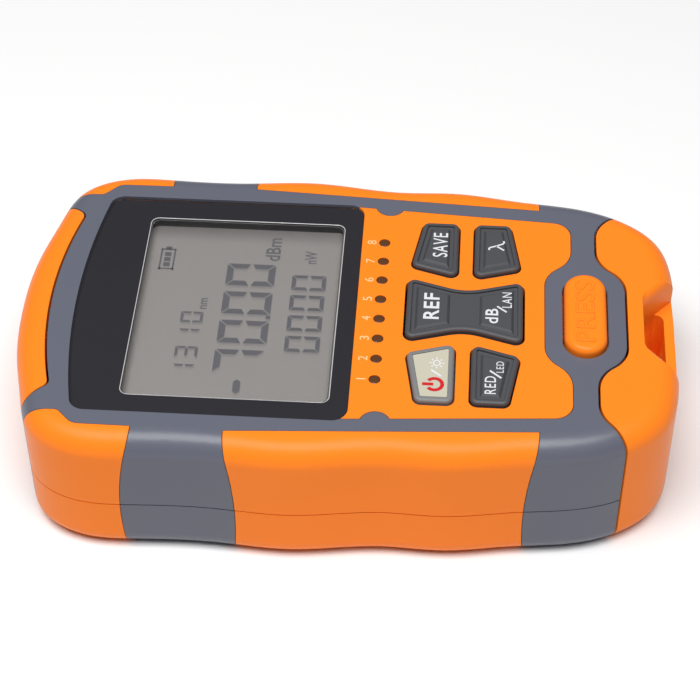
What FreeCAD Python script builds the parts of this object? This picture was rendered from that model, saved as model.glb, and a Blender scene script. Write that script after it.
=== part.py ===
import FreeCAD, Part
import math
import os
from FreeCAD import Vector

# The meter lies on its back: X along its length, Y across it, Z out of the display.
# The fibre ports are at -X and the detachable cable remote is at +X. Millimetres.

# Overall body
body_length = 119.4
body_width = 72.0
body_thickness = 28.0
front_edge_radius = 4.2
rear_edge_radius = 4.0
parting_height = 12.0
parting_groove_height = 0.24
parting_groove_depth = 0.35

# Body outline: distance from the nearer end, and inset from half the width
port_end_stations = [(0.9, 24.0), (3.2, 14.0), (6.1, 6.0), (14.8, 1.05)]
release_end_stations = [(17.8, 4.4), (8.7, 7.8), (2.6, 13.5), (0.2, 24.0)]
# Grip swells between them: distance from mid-length, and the same inset
grip_stations = [(-36.0, 0.72), (-22.0, 0.83), (-8.0, 0.0), (8.0, 1.64), (19.0, 1.38), (31.0, 3.02)]

# Walls and general clearances
side_wall = 2.2
front_wall = 2.0
rear_wall = 2.6
end_wall = 2.2
seam_gap = 0.4
moving_clearance = 0.3
pin_clearance = 0.05
flange_play = 0.1
overshoot = 1.0
tolerance = 0.001

# Grey overmoulded bumper
bumper_depth = 1.2
bumper_line = 0.1
frame_port_width = 55.6
frame_shoulder = (11.2, 55.6)
frame_shoulder_radius = 1.5
frame_widest = (14.0, 61.6)
frame_widest_radius = 3.0
frame_side_width = 62.0
left_band_top = (24.3, 40.2)
left_band_middle = (22.0, 41.9)
left_band_bottom = (22.6, 41.5)
right_band_top = 25.0
right_band_middle = 26.8
right_band_bottom = 26.4
frame_release_width = 56.2
band_root_width = 54.0
stripe_inner_width = 42.0

# Display window and the parts under it
lens_start = 10.3
lens_length = 51.0
lens_width = 55.2
lens_bow = 3.0
lens_corner_radius = 2.8
lens_thickness = 0.6
lens_recess = 0.4
lens_clearance = 0.1
mask_thickness = 0.2
ledge_thickness = 2.0
ledge_margin = 1.2
gasket_width = 1.0
view_margin = 3.4
view_length = 36.9
view_width = 45.8
view_corner_radius = 1.6
lcd_margin = 1.5
lcd_thickness = 2.4
holder_floor = 0.8
holder_wall = 1.6
connector_width = 2.0
connector_length = 40.0

# Orange key panel
panel_width_at_lens = 54.6
panel_width_at_release = 49.4
panel_corner_radius = 3.4
panel_end_inset = 19.2
panel_bay_inset = 24.1
panel_bay_width = 21.2
panel_shoulder_width = 28.4
panel_shoulder_radius = 5.8
notch_radius = 2.7
notch_offset = 4.8
notch_centre_width = 55.6

# Indicator lamps, one for each wire of a tested cable
wire_count = 8
lamp_pitch = 5.0
lamp_offset = 4.2
lamp_radius = 1.0
lamp_foot_radius = 1.5
lamp_foot_height = 1.2
lamp_recess = 0.15

# Keys
key_offset = 19.5
key_proud = 0.9
key_travel = 0.7
key_flange = 0.7
key_flange_thickness = 1.2
key_corner_radius = 1.3
key_rim = 0.9
key_groove = 0.8
key_groove_depth = 0.5
key_slope = 0.4
key_edge_radius = 0.55
key_stem_radius = 1.6
side_key_gap = 3.0
side_key_outer_width = 45.6
side_key_reach = 8.1
side_key_flare_reach = 10.05
side_key_flare_width = 22.4
side_key_inner_width = 17.2
side_key_switch = (5.7, 15.6)
rocker_length = 21.0
rocker_end_width = 15.6
rocker_waist_width = 9.4
rocker_waist_radius = 10.0
rocker_saddle = 5.5
rocker_clearance = 0.4
rocker_depth = 4.6
rocker_pin_radius = 1.0
rocker_pin_drop = 3.6
rocker_ear_thickness = 1.4
rocker_ear_gap = 1.2
rocker_ear_radius = 1.8
rocker_switch_reach = 7.3
power_plate_margin = 1.0
power_plate_thickness = 0.5
power_plate_recess = 0.2
switch_size = 6.0
switch_body_height = 2.2
switch_plunger_radius = 1.6
switch_height = 2.9

# Main board and the posts that carry it
board_thickness = 1.6
board_dock_gap = 0.4
board_corner_radius = 2.0
board_start = 12.7
board_end_inset = 26.7
board_width = 57.0
post_port_inset = 14.7
post_release_inset = 30.2
post_width = 52.6
rear_post_radius = 2.6
front_post_radius = 2.2
screw_radius = 1.1
screw_head_radius = 2.3
screw_head_height = 1.5
screw_head_recess = 0.7
screw_length = 22.0
screw_clearance = 0.15

# Port end
port_wall_inset = 9.2
port_plate_thickness = 2.0
port_plate_width = 48.0
recess_width = 40.0
recess_low = 7.0
recess_high = 24.5
adapter_height = 13.0
meter_port_y = 3.3
laser_port_y = 14.2
ferrule_radius = 1.26
ferrule_depth = 8.0
aperture_radius = 0.7
adapter_barrel_radius = 4.0
adapter_barrel_length = 3.2
adapter_flange_radius = 5.2
adapter_flange_thickness = 1.4
adapter_body_radius = 4.4
adapter_body_length = 4.0
photodiode_radius = 2.7
photodiode_length = 3.6
laser_radius = 3.8
laser_length = 13.0
torch_y = 8.8
torch_height = 21.2
torch_radius = 2.5
torch_dome_radius = 2.2
torch_length = 3.2
jack_y = -10.2
jack_width = 15.6
jack_height = 11.0
jack_depth = 16.0
jack_mouth_width = 11.8
jack_mouth_low = 3.0
jack_mouth_high = 9.9
jack_mouth_depth = 12.5
jack_key_width = 6.2
jack_key_low = 0.9
contact_pitch = 1.02
contact_size = 0.4
contact_length = 8.0
contact_drop = 1.2

# Hinged port cover
cover_seam_inset = 5.5
cover_seam_corner = (8.5, 44.0)
cover_outer_width = 60.0
cover_corner_radius = 1.6
cover_wall = 2.0
hinge_inset = 2.3
hinge_height = 4.5
hinge_barrel_radius = 1.9
hinge_pin_radius = 0.75
hinge_middle_width = 12.0
hinge_lug_thickness = 3.0
hinge_width = 38.0

# Battery bay and its door
cell_count = 3
cell_radius = 5.25
cell_length = 43.6
cell_button_radius = 1.9
cell_button_length = 0.9
cell_pitch = 11.2
bay_start = 30.2
bay_length = 48.0
bay_side_clearance = 0.75
bay_wall = 1.4
bay_roof_gap = 0.35
cell_floor_gap = 0.1
contact_plate_thickness = 0.4
leaf_bow = 2.7
door_overlap = 1.8
door_thickness = 1.8
door_pin_radius = 0.6
door_pin_length = 1.2
door_grip_count = 5
door_grip_pitch = 2.2
door_grip_width = 0.9
door_grip_depth = 0.5
door_grip_length = 14.0

# Release button
button_inset = 16.9
button_size = (7.6, 19.8)
button_proud = 1.8
button_travel = 1.6
button_edge_radius = 1.2
button_flange = 0.7
button_flange_thickness = 1.5
button_skirt = 2.9
plunger_radius = 1.5
spring_radius = 2.1
spring_wire_radius = 0.3
spring_turns = 3

# Dock in the body and the cable remote that slides into it
seam_button_inset = 9.6
seam_strip_inset = 14.9
seam_side_inset = 9.1
seam_button_width = 20.1
seam_strip_inner_width = 28.1
seam_strip_outer_width = 47.4
seam_side_width = 60.0
seam_bend_radius = 6.5
seam_corner_radius = 2.5
dock_wall = 1.0
dock_start_inset = 36.7
remote_wall = 1.0
remote_bulkhead = 1.5
remote_hollow_inset = 7.8
tongue_width = 7.0
tongue_slit = 1.0
tongue_drop = 1.2
tongue_start = 1.0
tongue_length = 6.0
tooth_length = 2.6
remote_board_gap = 1.6

# Lanyard eye in the remote's end
eye_start_inset = 6.4
eye_inner_width = 10.4
eye_outer_width = 25.0
eye_depth = 7.0
eye_bar_thickness = 1.8
eye_bar_height = 4.6
eye_window_height = 6.0
eye_slot_width = 17.0
eye_window_width = 11.0
eye_corner_radius = 1.6
eye_lip_radius = 2.2
eye_lip_rise = 0.1

# Places worked out from the sizes above
half_length = body_length / 2
half_width = body_width / 2
port_end = -half_length
release_end = half_length
front = body_thickness
front_inside = front - front_wall
lens_left = port_end + lens_start
lens_right = lens_left + lens_length
lens_top = front - lens_recess
lens_bottom = lens_top - lens_thickness
mask_bottom = lens_bottom - mask_thickness
ledge_bottom = mask_bottom - ledge_thickness
view_right = lens_right - view_margin
view_left = view_right - view_length
lamp_x = lens_right + lamp_offset
key_x = lens_right + key_offset
key_top = front + key_proud
key_flange_top = front_inside - flange_play
key_flange_bottom = key_flange_top - key_flange_thickness
port_wall_x = port_end + port_wall_inset
plate_inner_x = port_wall_x + port_plate_thickness
hinge_x = port_end + hinge_inset
hinge_groove_radius = hinge_inset + seam_gap
bay_left = port_end + bay_start
bay_right = bay_left + bay_length
bay_half_width = (cell_count - 1) * cell_pitch / 2 + cell_radius + bay_side_clearance
cell_height = rear_wall + cell_radius + cell_floor_gap
bay_ceiling = cell_height + cell_radius + bay_roof_gap
button_x = release_end - button_inset
button_underside = front_inside - button_skirt
eye_start = release_end - eye_start_inset
eye_floor = front - eye_depth
dock_left = release_end - dock_start_inset
dock_low = rear_wall + dock_wall
remote_low = dock_low + moving_clearance
remote_high = remote_low + jack_height + 2 * remote_wall
dock_high = remote_high + moving_clearance
remote_width = jack_width + 2 * remote_wall
dock_half_width = remote_width / 2 + moving_clearance
remote_left = dock_left + dock_wall + moving_clearance
board_height = dock_high + dock_wall + board_dock_gap
board_top = board_height + board_thickness
switch_top = board_top + switch_height
backlight_bottom = board_top + holder_floor
board_left = port_end + board_start
board_right = release_end - board_end_inset
jack_low = board_height - jack_height
cell_left = bay_left + leaf_bow
door_axis_x = bay_left - door_overlap + door_thickness / 2
posts = [(port_end + post_port_inset, post_width / 2), (port_end + post_port_inset, -post_width / 2),
         (release_end - post_release_inset, post_width / 2), (release_end - post_release_inset, -post_width / 2)]
far = 2 * (body_length + body_width)


def rounded_wire(corners):
    # A closed flat wire through (x, y, radius) corners, with a tangent arc at each rounded one.
    count = len(corners)
    turns = []
    for index, (x, y, radius) in enumerate(corners):
        here = Vector(x, y, 0)
        back = (Vector(*corners[index - 1][:2], 0) - here).normalize()
        ahead = (Vector(*corners[(index + 1) % count][:2], 0) - here).normalize()
        half_angle = back.getAngle(ahead) / 2
        reach = radius / math.tan(half_angle)
        middle = here + (back + ahead).normalize() * (radius / math.sin(half_angle) - radius)
        turns.append((here + back * reach, middle, here + ahead * reach, radius))
    edges = []
    for index, (start, middle, stop, radius) in enumerate(turns):
        if radius > 0:
            edges.append(Part.Arc(start, middle, stop).toShape())
        following = turns[(index + 1) % count][0]
        if (following - stop).Length > tolerance:
            edges.append(Part.LineSegment(stop, following).toShape())
    return Part.Wire(edges)


def prism(wire, low, high):
    face = Part.Face(wire)
    face.translate(Vector(0, 0, low))
    return face.extrude(Vector(0, 0, high - low))


def block(x_low, x_high, y_low, y_high, z_low, z_high):
    return Part.makeBox(x_high - x_low, y_high - y_low, z_high - z_low, Vector(x_low, y_low, z_low))


def rod_x(radius, x_low, x_high, y, z):
    return Part.makeCylinder(radius, x_high - x_low, Vector(x_low, y, z), Vector(1, 0, 0))


def rod_y(radius, y_low, y_high, x, z):
    return Part.makeCylinder(radius, y_high - y_low, Vector(x, y_low, z), Vector(0, 1, 0))


def rod_z(radius, z_low, z_high, x, y):
    return Part.makeCylinder(radius, z_high - z_low, Vector(x, y, z_low), Vector(0, 0, 1))


def both_sides(shape):
    return [shape, shape.mirror(Vector(0, 0, 0), Vector(0, 1, 0))]


def edges_at(shape, level):
    chosen = []
    for edge in shape.Edges:
        box = edge.BoundBox
        if abs(box.ZMin - level) < tolerance and abs(box.ZMax - level) < tolerance:
            chosen.append(edge)
    return chosen


def uprights_near(shape, places):
    chosen = []
    for edge in shape.Edges:
        box = edge.BoundBox
        if box.ZLength > 1 and box.XLength < tolerance and box.YLength < tolerance:
            if any(math.hypot(box.XMin - x, box.YMin - y) < 10 * tolerance for x, y in places):
                chosen.append(edge)
    return chosen


# Body outline

def outline_points():
    side = [(port_end, 0.0)]
    side += [(port_end + reach, half_width - inset) for reach, inset in port_end_stations]
    side += [(x, half_width - inset) for x, inset in grip_stations]
    side += [(release_end - reach, half_width - inset) for reach, inset in release_end_stations]
    side += [(release_end, 0.0)]
    other = [(x, -y) for x, y in reversed(side[1:-1])]
    return [Vector(x, y, 0) for x, y in side + other]


def outline_wire(inset):
    points = outline_points()
    curve = Part.BSplineCurve()
    curve.interpolate(Points=points, PeriodicFlag=True)
    if inset:
        moved = []
        for point in points:
            along = curve.tangent(curve.parameter(point))[0]
            moved.append(point + Vector(along.y, -along.x, 0) * inset)
        curve = Part.BSplineCurve()
        curve.interpolate(Points=moved, PeriodicFlag=True)
    return Part.Wire([curve.toShape()])


def body_form(side_inset, rear_inset, front_inset):
    form = prism(outline_wire(side_inset), rear_inset, front - front_inset)
    form = form.makeFillet(front_edge_radius - side_inset, edges_at(form, front - front_inset))
    return form.makeFillet(rear_edge_radius - side_inset, edges_at(form, rear_inset))


# Plan zones that divide the body

def bend_slide(shift, step, run):
    # How far the bends of an S-shaped step slide along it when its line is offset by the shift.
    return shift * math.tan(math.atan2(step, run) / 2)


def release_zone(shift):
    # Everything on the body's side of the seam to the cable remote.
    side = release_end - seam_side_inset + shift
    strip = release_end - seam_strip_inset + shift
    button = release_end - seam_button_inset + shift
    inner = bend_slide(shift, button - strip, (seam_strip_inner_width - seam_button_width) / 2)
    outer = bend_slide(shift, side - strip, (seam_side_width - seam_strip_outer_width) / 2)
    half = [(button, seam_button_width / 2 + inner, seam_bend_radius),
            (strip, seam_strip_inner_width / 2 + inner, seam_bend_radius),
            (strip, seam_strip_outer_width / 2 - outer, seam_bend_radius),
            (side, seam_side_width / 2 - outer, seam_corner_radius),
            (side, far, 0)]
    corners = [(x, -y, radius) for x, y, radius in reversed(half)] + half
    wire = rounded_wire(corners + [(-far, far, 0), (-far, -far, 0)])
    return prism(wire, -far, far)


def cover_zone(shift, low):
    # The space of the hinged port cover, above the level of its lower edge.
    seam_x = port_end + cover_seam_corner[0] + shift
    seam_y = cover_seam_corner[1] / 2
    apex = port_end + cover_seam_inset + shift
    outer = port_end - hinge_inset + shift
    outer_y = cover_outer_width / 2
    corner_low = Vector(seam_x, -seam_y, 0)
    corner_high = Vector(seam_x, seam_y, 0)
    edges = [Part.Arc(corner_low, Vector(apex, 0, 0), corner_high).toShape()]
    outer_points = [corner_high, Vector(outer, outer_y, 0), Vector(outer, -outer_y, 0), corner_low]
    for start, stop in zip(outer_points[:-1], outer_points[1:]):
        edges.append(Part.LineSegment(start, stop).toShape())
    zone = prism(Part.Wire(edges), low, 2 * front)
    corners = uprights_near(zone, [(seam_x, seam_y), (seam_x, -seam_y)])
    return zone.makeFillet(cover_corner_radius, corners)


def lens_form(grow, low, high):
    left = lens_left + lens_bow - grow
    right = lens_right + grow
    half = lens_width / 2 + grow
    corner_low = Vector(left, -half, 0)
    corner_high = Vector(left, half, 0)
    edges = [Part.Arc(corner_low, Vector(lens_left - grow, 0, 0), corner_high).toShape()]
    points = [corner_high, Vector(right, half, 0), Vector(right, -half, 0), corner_low]
    for start, stop in zip(points[:-1], points[1:]):
        edges.append(Part.LineSegment(start, stop).toShape())
    form = prism(Part.Wire(edges), low, high)
    return form.makeFillet(lens_corner_radius + grow, [edge for edge in form.Edges
                                                       if edge.BoundBox.ZLength > 0.5 * (high - low)])


def view_form(grow, low, high):
    half = view_width / 2 + grow
    places = [(view_left - grow, -half), (view_right + grow, -half), (view_right + grow, half),
              (view_left - grow, half)]
    return prism(rounded_wire([(x, y, view_corner_radius + grow) for x, y in places]), low, high)


def panel_form(grow, low, high):
    # The orange panel round the keys, with a bay for the release button's surround.
    end = release_end - panel_end_inset + grow
    bay = release_end - panel_bay_inset + grow
    slide = bend_slide(grow, end - bay, (panel_shoulder_width - panel_bay_width) / 2)
    half = [(lens_right - lens_bow, panel_width_at_lens / 2 + grow, 0),
            (end, panel_width_at_release / 2 + grow, panel_corner_radius),
            (end, panel_shoulder_width / 2 - slide, panel_shoulder_radius),
            (bay, panel_bay_width / 2 - slide, panel_shoulder_radius)]
    corners = half + [(x, -y, radius) for x, y, radius in reversed(half)]
    form = prism(rounded_wire(corners), low, high)
    notch = rod_z(notch_radius - grow, low, high, lens_right + notch_offset, notch_centre_width / 2)
    return form.cut(both_sides(notch))


def frame_form(grow, low, high):
    # Outer edge of the grey front frame, running out over the sides at the release end.
    shoulder_x, shoulder_width = frame_shoulder
    widest_x, widest_width = frame_widest
    run_out = release_end - right_band_top - grow
    half = [(port_end - far, frame_port_width / 2 + grow, 0),
            (port_end + shoulder_x, shoulder_width / 2 + grow, frame_shoulder_radius),
            (port_end + widest_x, widest_width / 2 + grow, frame_widest_radius),
            (port_end + left_band_top[1], frame_side_width / 2 + grow, 0),
            (run_out, frame_release_width / 2 + grow, 0),
            (run_out, far, 0),
            (release_end, far, 0)]
    corners = half + [(x, -y, radius) for x, y, radius in reversed(half)]
    return prism(rounded_wire(corners), low, high)


def side_band(x_points_left, x_points_right, grow):
    # A band over one long side, bounded by an arc on each flank: x at the top, middle and bottom.
    levels = (front, front / 2, 0.0)
    left = [Vector(x - grow, band_root_width / 2, z) for x, z in zip(x_points_left, levels)]
    right = [Vector(x + grow, band_root_width / 2, z) for x, z in zip(x_points_right, levels)]
    edges = [Part.Arc(*left).toShape(), Part.LineSegment(left[2], right[2]).toShape(),
             Part.Arc(*reversed(right)).toShape(), Part.LineSegment(right[0], left[0]).toShape()]
    return Part.Face(Part.Wire(edges)).extrude(Vector(0, body_width, 0))


def grip_zone(grow):
    frame = frame_form(grow, front - front_edge_radius - bumper_depth, 2 * front)
    frame = frame.cut(panel_form(-grow, 0, 3 * front))
    stops = (left_band_top, left_band_middle, left_band_bottom)
    left = side_band([port_end + low for low, high in stops], [port_end + high for low, high in stops], grow)
    stops = (right_band_top, right_band_middle, right_band_bottom)
    outer_flank = [release_end, release_end + bumper_depth, release_end]
    right = side_band([release_end - inset for inset in stops], outer_flank, grow)
    stripe = block(port_end - far, port_end + port_end_stations[3][0], stripe_inner_width / 2 - grow,
                   frame_port_width / 2 + grow, rear_edge_radius / 2, front)
    parts = both_sides(left) + both_sides(right) + both_sides(stripe)
    return frame.fuse(parts)


def stadium(half_x, half_y, low, high, x):
    # An oblong with round ends, longer across the body.
    straight = half_y - half_x
    lower = Part.Arc(Vector(x - half_x, -straight, 0), Vector(x, -half_y, 0), Vector(x + half_x, -straight, 0))
    upper = Part.Arc(Vector(x + half_x, straight, 0), Vector(x, half_y, 0), Vector(x - half_x, straight, 0))
    right = Part.LineSegment(Vector(x + half_x, -straight, 0), Vector(x + half_x, straight, 0))
    left = Part.LineSegment(Vector(x - half_x, straight, 0), Vector(x - half_x, -straight, 0))
    wire = Part.Wire([lower.toShape(), right.toShape(), upper.toShape(), left.toShape()])
    return prism(wire, low, high)


# Key outlines, as (x, y, radius) corners

def side_key_corners(x_sign, y_sign):
    local = [(side_key_gap / 2, side_key_inner_width / 2), (side_key_flare_reach, side_key_flare_width / 2),
             (side_key_reach, side_key_outer_width / 2), (side_key_gap / 2, side_key_outer_width / 2)]
    return [(key_x + x_sign * x, y_sign * y, key_corner_radius) for x, y in local]


def rocker_corners():
    end_x = rocker_length / 2
    end_y = rocker_end_width / 2
    waist_y = rocker_waist_width / 2
    local = [(-end_x, -end_y, key_corner_radius), (0, -waist_y, rocker_waist_radius),
             (end_x, -end_y, key_corner_radius), (end_x, end_y, key_corner_radius),
             (0, waist_y, rocker_waist_radius), (-end_x, end_y, key_corner_radius)]
    return [(key_x + x, y, radius) for x, y, radius in local]


def grown_form(corners, grow, low, high):
    wire = rounded_wire(corners)
    if grow:
        wire = wire.makeOffset2D(grow)
    return prism(wire, low, high)


def key_blank(corners, bottom):
    head = grown_form(corners, 0, bottom, key_top)
    return head.makeFillet(key_edge_radius, edges_at(head, key_top))


def key_middle(corners):
    return grown_form(corners, -key_rim - key_groove, key_top - key_groove_depth, key_top)


def key_groove_cut(corners, middles):
    # The sunk ring between a key's rim and its raised fields, whose flanks slope.
    ring = grown_form(corners, -key_rim, key_top - key_groove_depth, key_top + overshoot)
    return ring.cut([middle.makeChamfer(key_slope, edges_at(middle, key_top)) for middle in middles])


side_keys = {"store_key": (-1, 1), "wavelength_key": (1, 1), "power_key": (-1, -1), "light_key": (1, -1)}
switch_places = [(key_x + sx * side_key_switch[0], sy * side_key_switch[1]) for sx, sy in side_keys.values()]
switch_places += [(key_x - rocker_switch_reach, 0.0), (key_x + rocker_switch_reach, 0.0)]
lamp_places = [(lamp_x, (index - (wire_count - 1) / 2) * lamp_pitch) for index in range(wire_count)]


# Body shells and bumpers

def port_recess():
    return block(port_end - far, port_wall_x, -recess_width / 2, recess_width / 2, recess_low, recess_high)


def body_hollow():
    # The room inside the body, between the port wall and the end wall that follows the remote's seam.
    room = hollow.common(release_zone(-end_wall))
    return room.cut(block(-far, port_wall_x, -far, far, -far, far))


def dock_mouth():
    return block(dock_left, release_end, -dock_half_width, dock_half_width, dock_low, dock_high)


def button_hole():
    return stadium(button_size[0] / 2 + moving_clearance, button_size[1] / 2 + moving_clearance,
                   front_inside - front_wall, 2 * front, button_x)


def front_shell():
    shell = shell_all.common(upper_half).cut(parting_line)
    shell = shell.cut(room)
    ledge = lens_form(ledge_margin, ledge_bottom, front_inside + bumper_depth / 2).common(room)
    bosses = [rod_z(front_post_radius, board_top, front_inside + bumper_depth / 2, x, y) for x, y in posts]
    ear_middle = rocker_waist_width / 2 + rocker_ear_gap + rocker_ear_thickness / 2
    ear = block(key_x - rocker_ear_radius, key_x + rocker_ear_radius, ear_middle - rocker_ear_thickness / 2,
                ear_middle + rocker_ear_thickness / 2, front - rocker_pin_drop, front_inside + bumper_depth / 2)
    ear = ear.fuse(rod_y(rocker_ear_radius, ear_middle - rocker_ear_thickness / 2,
                         ear_middle + rocker_ear_thickness / 2, key_x, front - rocker_pin_drop))
    shell = shell.fuse([ledge] + bosses + both_sides(ear))
    cuts = [lens_form(0, mask_bottom, 2 * front), view_form(gasket_width, ledge_bottom - overshoot, front),
            port_recess(), dock_mouth(), button_hole()]
    cuts += [rod_z(lamp_radius + pin_clearance, front_inside - overshoot, 2 * front, x, y)
             for x, y in lamp_places]
    cuts += [grown_form(side_key_corners(*signs), moving_clearance, front_inside - overshoot, 2 * front)
             for signs in side_keys.values()]
    cuts += [grown_form(rocker_corners(), rocker_clearance, front_inside - overshoot, 2 * front)]
    cuts += [rod_z(screw_radius, 0, screw_head_recess + screw_head_height + screw_length + screw_clearance, x, y)
             for x, y in posts]
    ear_reach = ear_middle + rocker_ear_thickness / 2
    cuts += [rod_y(rocker_pin_radius + pin_clearance, -ear_reach, ear_reach, key_x, front - rocker_pin_drop)]
    return shell.cut(cuts)


def front_bumper():
    bumper = bumper_all.common(upper_half).cut(parting_line)
    return bumper.cut([lens_form(0, mask_bottom, 2 * front), port_recess(), button_hole()])


def hinge_lugs():
    inner = hinge_middle_width / 2 + moving_clearance
    lug = rod_y(hinge_barrel_radius, inner, inner + hinge_lug_thickness, hinge_x, hinge_height)
    web = block(hinge_x + hinge_pin_radius, hinge_x + hinge_barrel_radius, inner, inner + hinge_lug_thickness,
                rear_wall / 2, hinge_height)
    return both_sides(lug.fuse(web).common(hull))


def door_form(grow, low, high):
    left = bay_left - door_overlap - grow
    right = bay_right + door_overlap + grow
    half = bay_half_width + door_overlap + grow
    return block(left, right, -half, half, low, high)


def rear_shell():
    shell = shell_all.common(lower_half).cut(parting_line)
    shell = shell.cut(room)
    tray = block(bay_left - bay_wall, bay_right + bay_wall, -bay_half_width - bay_wall, bay_half_width + bay_wall,
                 rear_wall / 2, bay_ceiling + bay_wall)
    bosses = [rod_z(rear_post_radius, rear_wall / 2, board_height, x, y) for x, y in posts]
    shell = shell.fuse([tray] + bosses + hinge_lugs())
    cuts = [block(bay_left, bay_right, -bay_half_width, bay_half_width, -overshoot, bay_ceiling),
            door_form(moving_clearance, -overshoot, door_thickness), port_recess(), dock_mouth()]
    cuts += [rod_z(screw_radius + screw_clearance, -overshoot, board_height + overshoot, x, y)
             for x, y in posts]
    cuts += [rod_z(screw_head_radius + screw_clearance, -overshoot, screw_head_recess + screw_head_height, x, y)
             for x, y in posts]
    door_half = bay_half_width + door_overlap
    cuts += [rod_y(hinge_pin_radius, -hinge_width / 2, hinge_width / 2, hinge_x, hinge_height),
             rod_y(door_pin_radius + pin_clearance, -door_half - door_pin_length - pin_clearance,
                   door_half + door_pin_length + pin_clearance, door_axis_x, door_thickness / 2)]
    return shell.cut(cuts)


def rear_bumper():
    return bumper_all.common(lower_half).cut(parting_line).cut(port_recess())


# Display stack

def lcd_block(grow, low, high):
    return block(view_left - grow, view_right + grow, -view_width / 2 - grow, view_width / 2 + grow, low, high)


def display_window():
    lens = lens_form(-lens_clearance, lens_bottom, lens_top)
    return lens.makeChamfer(lens_clearance * 2, edges_at(lens, lens_top))


def window_mask():
    return lens_form(-lens_clearance, mask_bottom, lens_bottom).cut(view_form(0, 0, front))


def lcd_gasket():
    # A dark foam frame that closes the gap between the window and the display.
    return view_form(gasket_width, ledge_bottom, mask_bottom).cut(view_form(0, 0, front))


def lcd_panel():
    return lcd_block(lcd_margin, ledge_bottom - lcd_thickness, ledge_bottom)


def backlight_plate():
    plate = lcd_block(lcd_margin, backlight_bottom, ledge_bottom - lcd_thickness)
    return plate.cut(connector_slot(0))


def connector_slot(grow):
    right = view_right + lcd_margin
    return block(right - connector_width - grow, right, -connector_length / 2 - grow, connector_length / 2 + grow,
                 board_top, ledge_bottom - lcd_thickness)


def lcd_connector():
    return connector_slot(0)


def lcd_holder():
    holder = lcd_block(lcd_margin + holder_wall, board_top, ledge_bottom)
    return holder.cut([lcd_block(lcd_margin, backlight_bottom, front), connector_slot(0)])


# Board, lamps and switches

def main_board():
    places = [(board_left, -board_width / 2), (board_right, -board_width / 2),
              (board_right, board_width / 2), (board_left, board_width / 2)]
    corners = [(x, y, board_corner_radius) for x, y in places]
    board = prism(rounded_wire(corners), board_height, board_top)
    return board.cut([rod_z(screw_radius + screw_clearance, 0, front, x, y) for x, y in posts])


def indicator_lamps():
    lamps = []
    for x, y in lamp_places:
        foot = rod_z(lamp_foot_radius, board_top, board_top + lamp_foot_height, x, y)
        lamps.append(foot.fuse(rod_z(lamp_radius, board_top, front - lamp_recess, x, y)))
    return Part.makeCompound(lamps)


def key_switches():
    switches = []
    half = switch_size / 2
    for x, y in switch_places:
        case = block(x - half, x + half, y - half, y + half, board_top, board_top + switch_body_height)
        switches.append(case.fuse(rod_z(switch_plunger_radius, board_top, switch_top, x, y)))
    return Part.makeCompound(switches)


# Keys

def side_key_blank(signs):
    corners = side_key_corners(*signs)
    flange = grown_form(corners, key_flange, key_flange_bottom, key_flange_top)
    stem = rod_z(key_stem_radius, switch_top + key_travel + moving_clearance, key_flange_bottom,
                 key_x + signs[0] * side_key_switch[0], signs[1] * side_key_switch[1])
    return key_blank(corners, key_flange_bottom).fuse([flange, stem])


def side_key(signs):
    corners = side_key_corners(*signs)
    return side_key_blank(signs).cut(key_groove_cut(corners, [key_middle(corners)]))


def power_plate_form(high):
    return grown_form(side_key_corners(*side_keys["power_key"]), -power_plate_margin,
                      key_top - power_plate_recess - power_plate_thickness, high)


def power_key():
    return side_key_blank(side_keys["power_key"]).cut(power_plate_form(2 * front))


def power_key_plate():
    return power_plate_form(key_top - power_plate_recess)


def rocker_key():
    # A rocker with a raised field at each end and a lower saddle across its middle.
    bottom = key_top - rocker_depth
    corners = rocker_corners()
    saddle = block(key_x - rocker_saddle / 2, key_x + rocker_saddle / 2, -far, far, 0, 2 * front)
    fields = key_middle(corners).cut(saddle).Solids
    head = key_blank(corners, bottom).cut(key_groove_cut(corners, fields))
    pin_reach = rocker_waist_width / 2 + rocker_ear_gap + rocker_ear_thickness
    pin = rod_y(rocker_pin_radius, -pin_reach, pin_reach, key_x, front - rocker_pin_drop)
    stems = [rod_z(key_stem_radius, switch_top + key_travel, bottom, key_x + side * rocker_switch_reach, 0)
             for side in (-1, 1)]
    return head.fuse([pin] + stems)


# Port end

def port_plate():
    plate = block(port_wall_x, plate_inner_x, -port_plate_width / 2, port_plate_width / 2,
                  rear_wall, ledge_bottom)
    holes = [rod_x(adapter_body_radius, -far, 0, y, adapter_height) for y in (meter_port_y, laser_port_y)]
    holes.append(rod_x(torch_radius, -far, 0, torch_y, torch_height))
    holes.append(block(-far, 0, jack_y - jack_width / 2, jack_y + jack_width / 2, jack_low, board_height))
    return plate.cut(holes)


def fibre_adapter(y):
    # A barrel and flange outside the plate, a body through it, a bore for a ferrule and a light aperture.
    flange_left = port_wall_x - adapter_flange_thickness
    mouth = flange_left - adapter_barrel_length
    adapter = rod_x(adapter_barrel_radius, mouth, port_wall_x, y, adapter_height)
    adapter = adapter.fuse([rod_x(adapter_flange_radius, flange_left, port_wall_x, y, adapter_height),
                            rod_x(adapter_body_radius, port_wall_x, plate_inner_x + adapter_body_length, y,
                                  adapter_height)])
    bores = [rod_x(ferrule_radius, mouth, mouth + ferrule_depth, y, adapter_height),
             rod_x(aperture_radius, mouth, 0, y, adapter_height)]
    return adapter.cut(bores).removeSplitter()


def behind_adapter(radius, length, y):
    start = plate_inner_x + adapter_body_length
    return rod_x(radius, start, start + length, y, adapter_height)


def torch_lamp():
    tip = port_wall_x - torch_radius
    lamp = rod_x(torch_radius, tip, port_wall_x + torch_length, torch_y, torch_height)
    rim = [edge for edge in lamp.Edges if edge.BoundBox.XMax < tip + tolerance]
    return lamp.makeFillet(torch_dome_radius, rim)


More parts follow.
